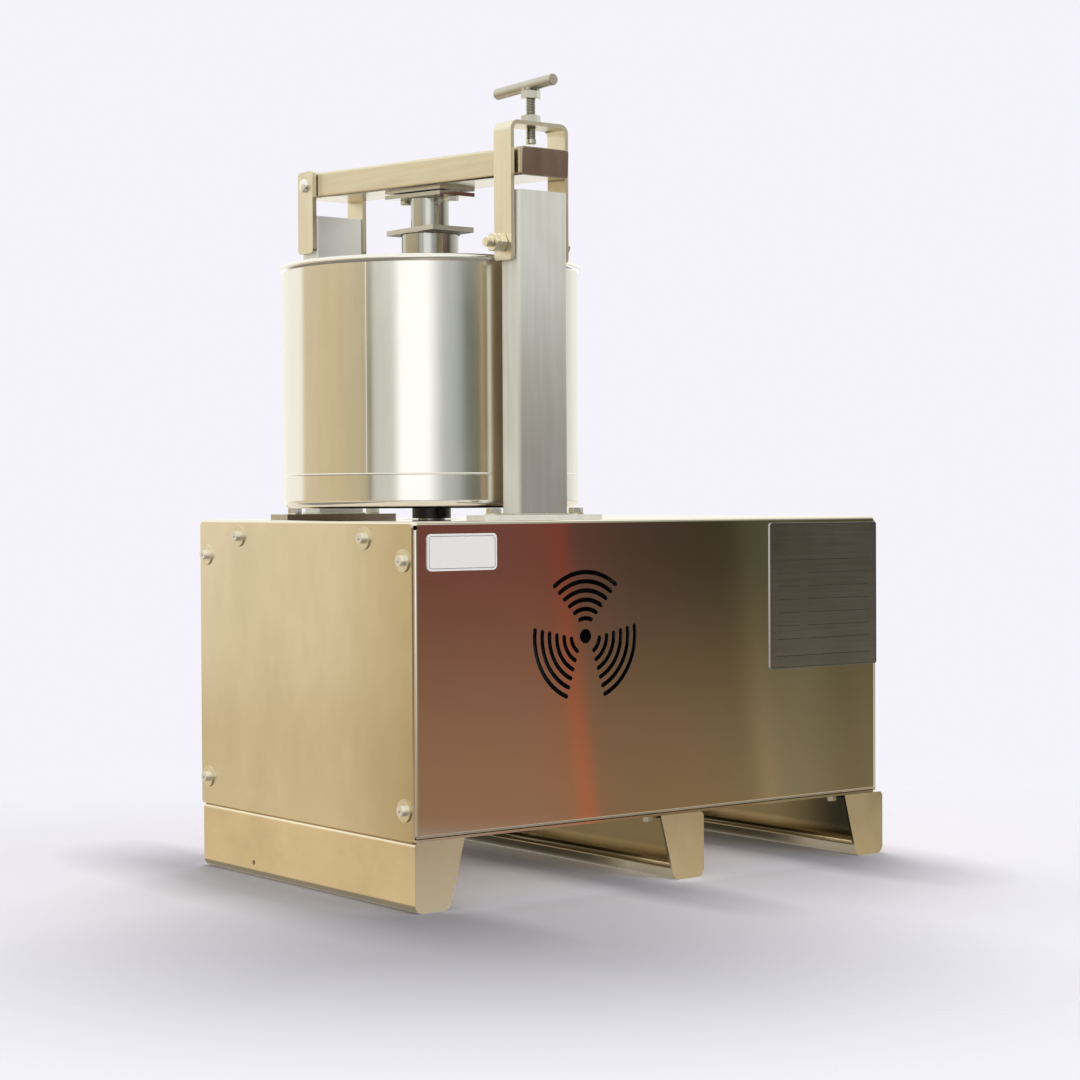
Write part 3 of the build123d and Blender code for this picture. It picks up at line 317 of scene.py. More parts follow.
# %% Bands of the room
room_bands = [
    (0.000, (0.45, 0.385, 0.25)),
    (0.013, (0.41, 0.36, 0.24)),
    (0.021, (0.12, 0.11, 0.09)),
    (0.027, (0.50, 0.48, 0.40)),
    (0.034, (0.50, 0.51, 0.46)),
    (0.072, (0.56, 0.57, 0.51)),
    (0.089, (1.00, 1.00, 0.98)),
    (0.146, (1.00, 1.00, 0.98)),
    (0.178, (0.44, 0.46, 0.45)),
    (0.211, (0.33, 0.355, 0.34)),
    (0.229, (0.14, 0.145, 0.12)),
    (0.256, (0.13, 0.12, 0.09)),
    (0.262, (0.40, 0.32, 0.18)),
    (0.268, (0.20, 0.15, 0.07)),
    (0.296, (0.18, 0.14, 0.07)),
    (0.305, (0.08, 0.055, 0.035)),
    (0.338, (0.125, 0.052, 0.040)),
    (0.351, (0.148, 0.056, 0.046)),
    (0.361, (0.050, 0.036, 0.028)),
    (0.3685, (0.038, 0.034, 0.018)),
    (0.371, (0.085, 0.074, 0.040)),
    (0.379, (0.062, 0.054, 0.030)),
    (0.420, (0.35, 0.32, 0.27)),
    (0.560, (0.72, 0.72, 0.66)),
    (0.700, (0.80, 0.78, 0.70)),
    (0.822, (0.80, 0.78, 0.69)),
    (0.834, (0.57, 0.48, 0.33)),
    (0.930, (0.53, 0.43, 0.26)),
    (0.999, (0.45, 0.385, 0.25)),
]
room_floor_bands = [
    (0.000, (0.40, 0.35, 0.26)),
    (0.250, (0.22, 0.18, 0.12)),
    (0.330, (0.245, 0.150, 0.093)),
    (0.352, (0.240, 0.137, 0.085)),
    (0.360, (0.195, 0.130, 0.072)),
    (0.380, (0.155, 0.138, 0.082)),
    (0.450, (0.90, 0.90, 0.92)),
    (0.720, (0.90, 0.90, 0.92)),
    (0.800, (0.50, 0.42, 0.29)),
    (0.950, (0.58, 0.48, 0.32)),
]
doorway_tints = [
    (0.00, (1.00, 1.00, 1.00)),
    (0.10, (1.10, 0.98, 0.92)),
    (0.13, (1.58, 0.92, 0.76)),
    (0.16, (1.44, 0.90, 0.76)),
    (0.18, (0.92, 0.94, 0.93)),
    (0.30, (0.93, 0.99, 0.98)),
    (0.45, (1.00, 1.00, 1.00)),
    (0.63, (1.00, 1.02, 1.00)),
    (0.695, (1.40, 1.50, 1.50)),
    (0.74, (1.15, 1.28, 1.32)),
    (0.82, (1.08, 1.20, 1.28)),
    (0.90, (0.94, 1.00, 1.00)),
    (0.95, (0.88, 0.91, 0.95)),
    (1.00, (1.00, 1.00, 1.00)),
]
ceiling_bands = [
    (0.000, (0.86, 0.87, 0.81)),
    (0.330, (0.82, 0.83, 0.78)),
    (0.352, (0.66, 0.66, 0.62)),
    (0.372, (0.28, 0.29, 0.25)),
    (0.400, (0.28, 0.29, 0.25)),
    (0.450, (0.86, 0.87, 0.81)),
]
near_floor_bands = [
    (0.000, (0.55, 0.48, 0.36)),
    (0.330, (0.54, 0.57, 0.56)),
    (0.350, (0.54, 0.57, 0.55)),
    (0.360, (0.65, 0.57, 0.40)),
    (0.377, (0.58, 0.49, 0.33)),
    (0.400, (0.52, 0.44, 0.32)),
    (0.450, (1.00, 1.00, 1.00)),
    (0.720, (1.00, 1.00, 1.00)),
    (0.800, (0.62, 0.52, 0.36)),
]
print(len(room_bands + room_floor_bands + near_floor_bands + ceiling_bands), "bands")

# %% Wall finish
band_lean = (0.082, 0.065, 0)
doorway_span = (0.351, 0.375)
floor_span, near_floor_span = (0.0, -4.0), (-3.9, -5.0)
under_span, ceiling_span = (-8.0, -11.5), (3.5, 7.0)
under_colour = (0.22, 0.205, 0.18, 1)
wall_glow = 1.3

finish = bpy.data.materials.new("room_bands")
finish.use_nodes = True
tree = finish.node_tree
tree.nodes.clear()
place = object_place(tree)
height = split(tree, place)["Z"]
round_wall = add_node(tree, "ShaderNodeTexGradient", gradient_type="RADIAL")
tree.links.new(calculate_vector(tree, "MULTIPLY_ADD", height, band_lean, place), round_wall.inputs["Vector"])
bearing = round_wall.outputs["Fac"]
all_bands = (room_bands, room_floor_bands, near_floor_bands, ceiling_bands)
walls, far_floor, near_floor, ceiling = [add_ramp(tree, bearing, bands) for bands in all_bands]
doorway = add_ramp(tree, map_span(tree, bearing, *doorway_span, curve="LINEAR"), doorway_tints)
colour = mix_colours(tree, map_span(tree, height, *floor_span), walls, far_floor)
colour = mix_colours(tree, 1.0, colour, doorway, "MULTIPLY")
colour = mix_colours(tree, map_span(tree, height, *near_floor_span), colour, near_floor)
colour = mix_colours(tree, map_span(tree, height, *under_span, curve="LINEAR"), colour, under_colour)
colour = mix_colours(tree, map_span(tree, height, *ceiling_span), colour, ceiling)
glow = add_node(tree, "ShaderNodeEmission", Strength=wall_glow)
out = tree.nodes.new("ShaderNodeOutputMaterial")
tree.links.new(colour, glow.inputs["Color"])
tree.links.new(glow.outputs[0], out.inputs["Surface"])
wall.data.materials.append(finish)
print("wall glows with strength", wall_glow)

# %% [markdown]
# ## Lamps
# The floor is grey in front of the machine, so most light falls from above and behind. Point lamps would draw
# hard edges, so large area lamps are used: a key above and behind, a weak fill from the front left, and one
# low in front that lightens the shadow below the cabinet. They stay out of the mirror-like steel, which shows
# the room alone.

# %% Lamps
lamp_target = Vector((0, 0, 0.35))


def add_lamp(name, place, size, power):
    """A square area lamp that looks at the middle of the machine."""
    data = bpy.data.lights.new(name, "AREA")
    data.size = size
    data.energy = power
    lamp = bpy.data.objects.new(name, data)
    scene.collection.objects.link(lamp)
    lamp.location = place
    lamp.rotation_mode = "QUATERNION"
    lamp.rotation_quaternion = (lamp_target - Vector(place)).to_track_quat("-Z", "Y")
    lamp.visible_glossy = False


add_lamp("key_lamp", (0.9, 1.5, 2.6), 2.2, 52)
add_lamp("fill_lamp", (-1.8, -1.6, 2.4), 1.8, 2)
add_lamp("front_lamp", (0.5, -2.4, 0.55), 1.0, 26)
print("three lamps")

# %% [markdown]
# ## Finishes
# Stainless sheet is rolled or brushed, so fine lines run along it and blur what it mirrors across the lines.
# The lines could be an image, but a noise texture that is stretched along the grain gives them at any scale.
# The same noise varies the roughness and a faint bump, and a second, larger noise leaves the cloudy stains of
# handled steel. All patterns read object coordinates, so they stay on the metal.

# %% Helpers for finishes
def shader_of(finish):
    """The principled shader of a finish."""
    return finish.node_tree.nodes["Principled BSDF"]


def new_finish(name, metal):
    """A new finish, its nodes and its shader."""
    finish = bpy.data.materials.new(name)
    finish.use_nodes = True
    shader = shader_of(finish)
    shader.inputs["Metallic"].default_value = metal
    return finish, finish.node_tree, shader


def noise(tree, place, scale, detail, roughness, distortion=0.0):
    """A cloudy noise over a place."""
    node = add_node(tree, "ShaderNodeTexNoise", Scale=scale, Detail=detail, Roughness=roughness,
                    Distortion=distortion)
    tree.links.new(place, node.inputs["Vector"])
    return node.outputs["Fac"]


def mix_numbers(tree, share, first, second):
    """Blends a second pattern into a first one."""
    node = add_node(tree, "ShaderNodeMix", data_type="FLOAT", Factor=share)
    tree.links.new(first, node.inputs["A"])
    tree.links.new(second, node.inputs["B"])
    return node.outputs["Result"]


def mottle(tree, shader, pattern, low, high, colour, amount):
    """Colours a shader a little darker and lighter over a pattern."""
    dark = [c * (1 - amount) for c in colour]
    light = [min(c * (1 + amount), 1) for c in colour]
    tree.links.new(add_ramp(tree, pattern, [(low, dark), (high, light)]), shader.inputs["Base Color"])


def add_bump(tree, shader, height, strength, distance):
    """Lays a bump over those that a shader has."""
    relief = add_node(tree, "ShaderNodeBump", Strength=strength, Distance=distance)
    normal = shader.inputs["Normal"]
    if normal.is_linked:
        tree.links.new(normal.links[0].from_socket, relief.inputs["Normal"])
    tree.links.new(height, relief.inputs["Height"])
    tree.links.new(relief.outputs["Normal"], normal)


# %% Brushed steel
smoothest, grain_depth = 0.03, 0.0004


def steel(name, colour, grain, roughness, spread, stains, bump):
    """Bare steel with a grain that is long along the axis of the smallest grain value."""
    finish, tree, shader = new_finish(name, 1.0)
    place = object_place(tree)
    lines = noise(tree, calculate_vector(tree, "MULTIPLY", place, grain), 1.0, 5.0, 0.62)
    clouds = noise(tree, place, 9.0, 4.0, 0.55, 0.6)
    both = mix_numbers(tree, 0.45, lines, clouds)
    mottle(tree, shader, both, 0.33, 0.66, colour, stains)
    lowest, highest = max(roughness - spread, smoothest), roughness + spread
    tree.links.new(map_span(tree, both, 0.25, 0.75, lowest, highest, "LINEAR"), shader.inputs["Roughness"])
    add_bump(tree, shader, lines, bump, grain_depth)
    return finish


housing_steel = steel("housing_steel", (0.80, 0.73, 0.63), (5, 5, 700), 0.030, 0.010, 0.025, 0.003)
panel_steel = steel("panel_steel", (0.84, 0.76, 0.62), (40, 16, 8), 0.20, 0.04, 0.06, 0.01)
leg_steel, middle_leg_steel, right_leg_steel = [
    steel(name, (0.80, 0.70, 0.52), (24, 10, 18), 0.20, 0.05, 0.09, 0.01)
    for name in ("leg_steel", "middle_leg_steel", "right_leg_steel")
]
drum_steel = steel("drum_steel", (0.82, 0.80, 0.76), (60, 60, 5), 0.13, 0.04, 0.04, 0.02)
post_steel = steel("post_steel", (0.96, 0.96, 0.87), (160, 160, 7), 0.58, 0.07, 0.14, 0.04)
# A lighter copy of the post steel for the rear post: painted light.
lit_rear_post_steel = steel("lit_rear_post_steel", (0.99, 1.00, 0.93), (160, 160, 7), 0.45, 0.07, 0.06, 0.04)
beam_steel = steel("beam_steel", (0.71, 0.64, 0.50), (160, 7, 160), 0.24, 0.08, 0.08, 0.04)
cap_steel = steel("cap_steel", (0.52, 0.44, 0.37), (90, 90, 20), 0.24, 0.04, 0.08, 0.02)
bar_steel = steel("bar_steel", (0.80, 0.74, 0.59), (160, 160, 9), 0.34, 0.08, 0.08, 0.03)
plate_steel = steel("plate_steel", (0.62, 0.59, 0.53), (90, 30, 30), 0.45, 0.08, 0.12, 0.05)
# A lighter copy of the foot plates' steel for the front foot plate: painted light.
lit_foot_steel = steel("lit_foot_steel", (0.90, 0.89, 0.83), (60, 60, 60), 0.56, 0.08, 0.08, 0.04)
tube_steel = steel("tube_steel", (0.52, 0.52, 0.49), (60, 60, 8), 0.11, 0.04, 0.07, 0.02)
bolt_steel = steel("bolt_steel", (0.56, 0.54, 0.48), (220, 220, 220), 0.12, 0.06, 0.10, 0.03)
pivot_steel = steel("pivot_steel", (0.95, 0.88, 0.76), (220, 220, 220), 0.20, 0.06, 0.10, 0.03)
screw_steel = steel("screw_steel", (0.96, 0.95, 0.91), (220, 220, 220), 0.12, 0.04, 0.05, 0.02)
# Used for the handle bar, and for the rear foot plate as a darker copy: painted shade.
handle_and_shaded_foot_steel = steel("handle_and_shaded_foot_steel", (0.51, 0.485, 0.42), (120, 60, 60), 0.32, 0.08, 0.10, 0.04)
shaft_steel = steel("shaft_steel", (0.60, 0.60, 0.60), (20, 20, 700), 0.28, 0.06, 0.06, 0.04)
weld_steel = steel("weld_steel", (0.58, 0.54, 0.47), (400, 400, 400), 0.38, 0.10, 0.22, 0.25)
thread_dark = steel("thread_dark", (0.20, 0.18, 0.15), (220, 220, 220), 0.40, 0.08, 0.10, 0.05)
plate_dark = steel("plate_dark", (0.49, 0.49, 0.55), (12, 12, 500), 0.16, 0.04, 0.05, 0.01)
for finish, metal in ((post_steel, 0.66), (lit_rear_post_steel, 0.40), (lit_foot_steel, 0.66), (screw_steel, 0.75)):
    shader_of(finish).inputs["Metallic"].default_value = metal
print("twenty-two kinds of bare steel")

# %% [markdown]
# ## Posts, panel, legs and drum
# The posts are satin ground, and in front they are brighter at the top than at the foot, which is painted
# shade. The left panel has a painted shade near its front edge. The legs are channels, and two of them turn
# their shaded inner side to the front left. The drum was rolled from a sheet and has shallow waves, which
# would change the solid by less than a hair. All this goes into the finishes: painted light and shade as
# ramps over the height or the depth on one side of a piece, and slow waves as a bump on the drum.

# %% Painted light and shade on one side
def share_along(tree, axis, low, high, first=0.0, last=1.0):
    """Runs from one number to another between two places along an axis of the machine."""
    return map_span(tree, split(tree, object_place(tree))[axis], low, high, first, last)


def paint_shade_on_side(finish, axis, way, shade):
    """Paints light or shade onto the faces that look one way along an axis. The way is 1, -1 or a node's
    result.
    """
    tree = finish.node_tree
    base = shader_of(finish).inputs["Base Color"]
    normal = tree.nodes.new("ShaderNodeTexCoord").outputs["Normal"]
    amount = calculate(tree, "MULTIPLY", split(tree, normal)[axis], way, clamp=True)
    tree.links.new(mix_colours(tree, amount, base.links[0].from_socket, shade, "MULTIPLY"), base)


# %% Posts and panel in detail
untinted = (1.0, 1.0, 1.0)
post_foot, post_top = 0.37, 0.72
# Painted shade: the post's front darkens towards the foot, and its back, which faces the drum, gets a brown
# painted shade.
post_front_painted_shade = [(0.0, (0.42, 0.40, 0.39)), (1.0, (0.88, 0.89, 0.88))]
post_back_painted_shade = (0.75, 0.62, 0.44, 1)
tree = post_steel.node_tree
paint_shade_on_side(post_steel, "Y", -1, add_ramp(tree, share_along(tree, "Z", post_foot, post_top), post_front_painted_shade))
paint_shade_on_side(post_steel, "Y", 1, post_back_painted_shade)

edge_run, panel_rise = (-0.20, -0.06), (0.14, 0.24)
# Painted shade on the left panel near its front edge; low down a little painted shade, high up painted light.
panel_edge_painted_shade = [
    (0.0, (0.77, 0.74, 0.62)), (0.34, (0.86, 0.83, 0.77)), (0.8, (0.94, 0.94, 0.90)), (1.0, untinted),
]
panel_height_painted_shade_and_light = [(0.0, (0.93, 0.93, 0.91)), (1.0, (1.02, 1.05, 1.09))]
tree = panel_steel.node_tree
paint_shade_on_side(panel_steel, "X", -1, add_ramp(tree, share_along(tree, "Y", *edge_run), panel_edge_painted_shade))
paint_shade_on_side(panel_steel, "X", -1, add_ramp(tree, share_along(tree, "Z", *panel_rise), panel_height_painted_shade_and_light))
print("shaded front post and left panel")

# %% Legs and drum in detail
lip_top, web_rise = 0.012, (0.010, 0.032)
lip_run, front_run = (-0.20, 0.0), (-0.14, -0.02)
# Painted shade on the inner webs of the middle and right legs, darkest high up under the cabinet; painted light
# at the front of the lip and painted shade further back; painted shade on the front part of the right leg's
# web.
leg_web_painted_shade = [(0.0, untinted), (0.4, (0.56, 0.54, 0.50)), (0.8, (0.29, 0.28, 0.25))]
leg_lip_painted_light_and_shade = [
    (0.0, (1.25, 1.32, 1.45)),
    (0.3, (1.2, 1.25, 1.35)),
    (0.55, (0.45, 0.45, 0.45)),
    (0.76, (0.20, 0.20, 0.18)),
    (1.0, (0.13, 0.12, 0.09)),
]
right_web_painted_shade = [(0.0, (0.15, 0.18, 0.20)), (1.0, untinted)]
for finish in (middle_leg_steel, right_leg_steel):
    tree = finish.node_tree
    on_lip = share_along(tree, "Z", lip_top - 0.001, lip_top, -1, 0)
    paint_shade_on_side(finish, "X", -1, add_ramp(tree, share_along(tree, "Z", *web_rise), leg_web_painted_shade))
    paint_shade_on_side(finish, "X", on_lip, add_ramp(tree, share_along(tree, "Y", *lip_run), leg_lip_painted_light_and_shade))
tree = right_leg_steel.node_tree
on_web = share_along(tree, "Z", lip_top, lip_top + 0.003, 0, -1)
paint_shade_on_side(right_leg_steel, "X", on_web, add_ramp(tree, share_along(tree, "Y", *front_run), right_web_painted_shade))

wave_scale, wave_strength, wave_depth = 11.0, 0.10, 0.004
tree = drum_steel.node_tree
waves = noise(tree, object_place(tree), wave_scale, 1.0, 0.4)
add_bump(tree, shader_of(drum_steel), waves, wave_strength, wave_depth)
print("shaded legs, drum with waves")

# %% [markdown]
# ## Stone, plastic, bronze and paint
# The rollers and the base stone are dark granite: a ground with light and black grains, which a cell texture
# gives better than a smooth noise. Moulded plastic and cast paint have a faint orange-peel bump. Each of
# these is a principled shader with its own small texture.

# %% Granite and the other finishes
coat_spread, smoothest_coat, peel_depth = 0.08, 0.05, 0.0003


def coated(name, colour, roughness, scale, bump, metal=0.0, mottling=0.12):
    """Paint, plastic or cast metal: one colour with a fine mottle and an orange-peel bump."""
    finish, tree, shader = new_finish(name, metal)
    peel = noise(tree, object_place(tree), scale, 3.0, 0.5)
    mottle(tree, shader, peel, 0.3, 0.7, colour, mottling)
    lowest, highest = max(roughness - coat_spread, smoothest_coat), roughness + coat_spread
    tree.links.new(map_span(tree, peel, 0.0, 1.0, lowest, highest, "LINEAR"), shader.inputs["Roughness"])
    add_bump(tree, shader, peel, bump, peel_depth)
    return finish


def granite(name):
    """Honed dark granite with light and black grains."""
    finish, tree, shader = new_finish(name, 0.0)
    place = object_place(tree)
    grains = add_node(tree, "ShaderNodeTexVoronoi", Scale=420.0)
    grey = tree.nodes.new("ShaderNodeRGBToBW")
    tree.links.new(place, grains.inputs["Vector"])
    tree.links.new(grains.outputs["Color"], grey.inputs["Color"])
    tone = mix_numbers(tree, 0.5, grey.outputs["Val"], noise(tree, place, 160.0, 6.0, 0.7))
    speckle = [
        (0.30, (0.02, 0.02, 0.022)),
        (0.45, (0.10, 0.10, 0.105)),
        (0.60, (0.22, 0.22, 0.22)),
        (0.72, (0.5, 0.49, 0.47)),
    ]
    tree.links.new(add_ramp(tree, tone, speckle), shader.inputs["Base Color"])
    add_bump(tree, shader, tone, 0.12, grain_depth)
    shader.inputs["Roughness"].default_value = 0.45
    return finish


dark_granite = granite("dark_granite")
hub_black = coated("hub_black", (0.018, 0.017, 0.016), 0.35, 500, 0.05)
moulded_black = coated("moulded_black", (0.025, 0.025, 0.026), 0.42, 1400, 0.12)
scraper_white = coated("scraper_white", (0.80, 0.80, 0.77), 0.40, 300, 0.04, mottling=0.03)
amber_urethane = coated("amber_urethane", (0.50, 0.26, 0.06), 0.35, 250, 0.05)
turned_bronze = coated("turned_bronze", (0.62, 0.42, 0.20), 0.28, 400, 0.05, metal=1.0)
cast_paint = coated("cast_paint", (0.16, 0.20, 0.25), 0.45, 350, 0.25)
badge_silver = coated("badge_silver", (0.86, 0.86, 0.85), 0.34, 900, 0.03, metal=0.15, mottling=0.04)
etched_dark = coated("etched_dark", (0.03, 0.03, 0.028), 0.5, 700, 0.06)
shader_of(etched_dark).inputs["Specular IOR Level"].default_value = 0.08
bracket_paint = coated("bracket_paint", (0.22, 0.23, 0.24), 0.40, 600, 0.10)
print("granite and nine coated finishes")

# %% [markdown]
# ## Finishes on the solids
# Each solid of the frame keeps its shape and gets a finish by name. A table by finish is
# shorter than a line for each solid, and a solid that is missing from it stops the script.

# %% Dress the solids
solids_in = (
    (housing_steel, "housing", "base_plate"),
    (panel_steel, "left_end_panel", "right_end_panel"),
    (leg_steel, "left_leg"),
    (middle_leg_steel, "middle_leg"),
    (right_leg_steel, "right_leg"),
    (screw_steel, "panel_screws"),
    (bar_steel, "flat_washers", "hinge_ears", "stirrup"),
    (bolt_steel, "base_bolts", "foot_bolts", "hinge_bolt", "flange_bolts", "axle_nuts", "stirrup_nut",
     "clamp_nose", "clamp_screw", "handle_nut"),
    (cast_paint, "gearbox", "motor", "terminal_box", "top_bearing"),
    (bracket_paint, "gearbox_stand", "motor_cradle", "fan_cover"),
    (shaft_steel, "motor_shaft", "drive_shaft", "roller_axles"),
    (moulded_black, "cooling_fan", "switch_body", "rocker", "power_inlet"),
    (post_steel, "front_post"),
    (lit_rear_post_steel, "rear_post"),
    (lit_foot_steel, "front_foot_plate"),
    # The rear foot plate in the darker handle steel is painted shade.
    (handle_and_shaded_foot_steel, "rear_foot_plate", "handle_bar"),
    (pivot_steel, "pivot_bolt", "pivot_nuts"),
    (drum_steel, "drum_shell"),
    (hub_black, "drum_hub"),
    (dark_granite, "base_stone", "left_roller_stone", "right_roller_stone"),
    (tube_steel, "centre_post", "pressure_tube", "holder_tube"),
    (beam_steel, "beam_tube"),
    (cap_steel, "beam_end_cap"),
    (turned_bronze, "hinge_bush", "left_roller_bush", "right_roller_bush"),
    (plate_steel, "beam_flange", "holder_plate", "scraper_arm"),
    (amber_urethane, "pressure_spring"),
    (scraper_white, "scraper_blade"),
)
finish_of = {name: finish for finish, *names in solids_in for name in names}
for name, solid in nodes_by_name.items():
    solid.data.materials.clear()
    solid.data.materials.append(finish_of[name])
print(len(finish_of), "solids dressed")

# %% [markdown]
# ## Hexagon nuts and bolt heads
# A nut is a hexagon whose corners are turned away at 30 degrees, so its end is nearly round. The solids have
# plain hexagons. A cone could be cut from a prism with a boolean, but six flat cuts, one across each corner,
# give the same look with few faces, and a small bevel makes the edges catch the light. Sizes are those of
# common metric nuts.

# %% Hexagons and rods
mm = 0.001
chamfer_angle, chamfer_reach = radians(30), 0.49
edge_bevel, rod_chamfer = 0.25 * mm, 0.8 * mm


def set_into(mesh, part, seat, way):
    """Turns a small part, made along Z from its seat, to a way, and joins it to a larger mesh."""
    turn = Vector((0, 0, 1)).rotation_difference(Vector(way)).to_matrix().to_4x4()
    bmesh.ops.transform(part, matrix=Matrix.Translation(seat) @ turn, verts=part.verts)
    data = bpy.data.meshes.new("small_part")
    part.to_mesh(data)
    part.free()
    mesh.from_mesh(data)
    bpy.data.meshes.remove(data)


def hexagon(flats, height, both_ends=False):
    """A hexagon along Z with its corners cut at the top, or at both ends."""
    part = bmesh.new()
    corner = flats / sqrt(3)
    bmesh.ops.create_cone(part, cap_ends=True, segments=6, radius1=corner, radius2=corner, depth=height)
    bmesh.ops.translate(part, vec=(0, 0, height / 2), verts=part.verts)
    corners = [v.co.copy() for v in part.verts if both_ends or v.co.z > height / 2]
    for point in corners:
        outward = Vector((point.x, point.y, 0)).normalized()
        upward = Vector((0, 0, 1 if point.z > height / 2 else -1))
        everything = part.verts[:] + part.edges[:] + part.faces[:]
        cut = outward * flats * chamfer_reach + Vector((0, 0, point.z))
        slant = outward * sin(chamfer_angle) + upward * cos(chamfer_angle)
        bmesh.ops.bisect_plane(part, geom=everything, plane_co=cut, plane_no=slant, clear_outer=True)
        bmesh.ops.holes_fill(part, edges=[e for e in part.edges if e.is_boundary])
    bmesh.ops.bevel(part, geom=part.edges[:], offset=edge_bevel, offset_type="OFFSET", affect="EDGES",
                    segments=2, profile=0.5, material=-1, clamp_overlap=True)
    return part


def round_bar(radius, length, sides, rounding, steps):
    """A round bar along Z with a chamfered or rounded far end."""
    part = bmesh.new()
    bmesh.ops.create_cone(part, cap_ends=True, segments=sides, radius1=radius, radius2=radius, depth=length)
    bmesh.ops.translate(part, vec=(0, 0, length / 2), verts=part.verts)
    rim = [e for e in part.edges if min(v.co.z for v in e.verts) > length * 0.99]
    bmesh.ops.bevel(part, geom=rim, offset=rounding, offset_type="OFFSET", affect="EDGES",
                    segments=steps, profile=0.5, material=-1)
    return part


def plain_rod(radius, length):
    """A round rod along Z with a chamfered far end."""
    return round_bar(radius, length, 32, rod_chamfer, 1)


# %% [markdown]
# ## Threads
# The clamping screw and the ends of the long bolts show their threads. A thread is one ridge that climbs by
# its pitch in each turn, so the spin operator makes it from a ridge's profile with a small step upwards. A
# stack of rings would be easier, but its lines would not climb. The ends are cut flat and closed.

# %% Threaded rods
steps_per_turn = 24


def threaded_rod(radius, pitch, length):
    """A threaded rod along Z."""
    part = bmesh.new()
    root = radius - 0.6 * pitch
    profile = [(root, 0), (root, 0.2), (radius, 0.42), (radius, 0.62), (root, 0.84), (root, 1.0)]
    points = [part.verts.new((reach, 0, (share - 1) * pitch)) for reach, share in profile]
    for low, high in zip(points, points[1:]):
        part.edges.new((low, high))
    turns = int(length / pitch) + 3
    bmesh.ops.spin(part, geom=part.verts[:] + part.edges[:], cent=(0, 0, 0), axis=(0, 0, 1),
                   dvec=(0, 0, pitch / steps_per_turn), angle=2 * pi * turns, steps=steps_per_turn * turns,
                   use_merge=False)
    bmesh.ops.remove_doubles(part, verts=part.verts, dist=0.01 * mm)
    for level, way in ((0, -1), (length, 1)):
        everything = part.verts[:] + part.edges[:] + part.faces[:]
        bmesh.ops.bisect_plane(part, geom=everything, plane_co=(0, 0, level), plane_no=(0, 0, way),
                               clear_outer=True)
        bmesh.ops.holes_fill(part, edges=[e for e in part.edges if e.is_boundary])
    for face in part.faces:
        if all(Vector((v.co.x, v.co.y)).length < root + 0.05 * mm for v in face.verts):
            face.material_index = 1
    return part


# %% [markdown]
# ## Dressing a piece
# Every new piece needs the same things: its finish, its shading, the body that it rides on and the solids
# that it stands for. Some could be left to a loop at the end, but said together they are harder to forget.
# Round pieces are shaded smooth with sharp edges, pieces of flat faces stay flat.

# %% Dress a piece
sharp_angle = radians(25)


def dress(piece, finish, body, slot, *stands_for, smooth=True, second=None):
    """Gives a piece its finishes, shading and body, and hides the solids that it stands for. The slot is not
    used.
    """
    piece.data.materials.append(finish)
    if second:
        piece.data.materials.append(second)
    for face in piece.data.polygons:
        face.use_smooth = smooth
    if smooth:
        piece.data.set_sharp_from_angle(angle=sharp_angle)
    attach(piece, body)
    for node in stands_for:
        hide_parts(node)
    print(piece.name, len(piece.data.polygons), "faces")


# %% [markdown]
# ## The clamp's screw, nuts and bolts
# The clamping screw runs through a nut on the stirrup into the nose. Each fastener takes the place and the
# size of its solid, so it is placed by the same values: the drum's axis, the stirrup's plane and the heights
# of the seats. A long bolt could be threaded all along, but only its end shows a thread, so the rest is a
# plain rod.

# %% Clamp fasteners
drum_x, clamp_y = -146 * mm, -174 * mm
to_top, to_base, to_left, to_right, to_front = (0, 0, 1), (0, 0, -1), (-1, 0, 0), (1, 0, 0), (0, -1, 0)
thread_radius, thread_pitch, shank_radius = 5 * mm, 1.5 * mm, 4.9 * mm
nut_flats, nut_height, head_height = 17 * mm, 8 * mm, 6.4 * mm

rod_low, rod_high = [corner.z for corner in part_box("clamp_screw")]
mesh = bmesh.new()
rod = threaded_rod(thread_radius, thread_pitch, rod_high - rod_low)
set_into(mesh, rod, (drum_x, clamp_y, rod_low), to_top)
dress(to_object(mesh, "threaded_screw"), bolt_steel, "clamp_screw", "fastener_steel", "clamp_screw",
      smooth=False, second=thread_dark)

for name, node, body in (("handle_hexagon", "handle_nut", "clamp_screw"),
                         ("stirrup_hexagon", "stirrup_nut", "stirrup")):
    mesh = bmesh.new()
    set_into(mesh, hexagon(nut_flats, nut_height, True), (drum_x, clamp_y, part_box(node)[0].z), to_top)
    dress(to_object(mesh, name), bolt_steel, body, "fastener_steel", node, smooth=False)


# %% Pivot and hinge bolts
def beside(point, x):
    """A point moved to another X."""
    return Vector((x, point.y, point.z))


pivot_low, pivot_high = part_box("pivot_bolt")
pivot = (pivot_low + pivot_high) / 2
pivot_thread = 21 * mm
shank_start, jam_seat = pivot_high.x - 6 * mm, pivot_low.x + 13 * mm
mesh = bmesh.new()
set_into(mesh, hexagon(nut_flats, head_height), beside(pivot, pivot_high.x - head_height), to_right)
shank = plain_rod(shank_radius, shank_start - jam_seat)
set_into(mesh, shank, beside(pivot, shank_start), to_left)
thread = threaded_rod(thread_radius, thread_pitch, pivot_thread)
set_into(mesh, thread, beside(pivot, pivot_low.x + pivot_thread), to_left)
dress(to_object(mesh, "pivot_fastener"), pivot_steel, "stand", "fastener_steel", "pivot_bolt",
      smooth=False, second=thread_dark)

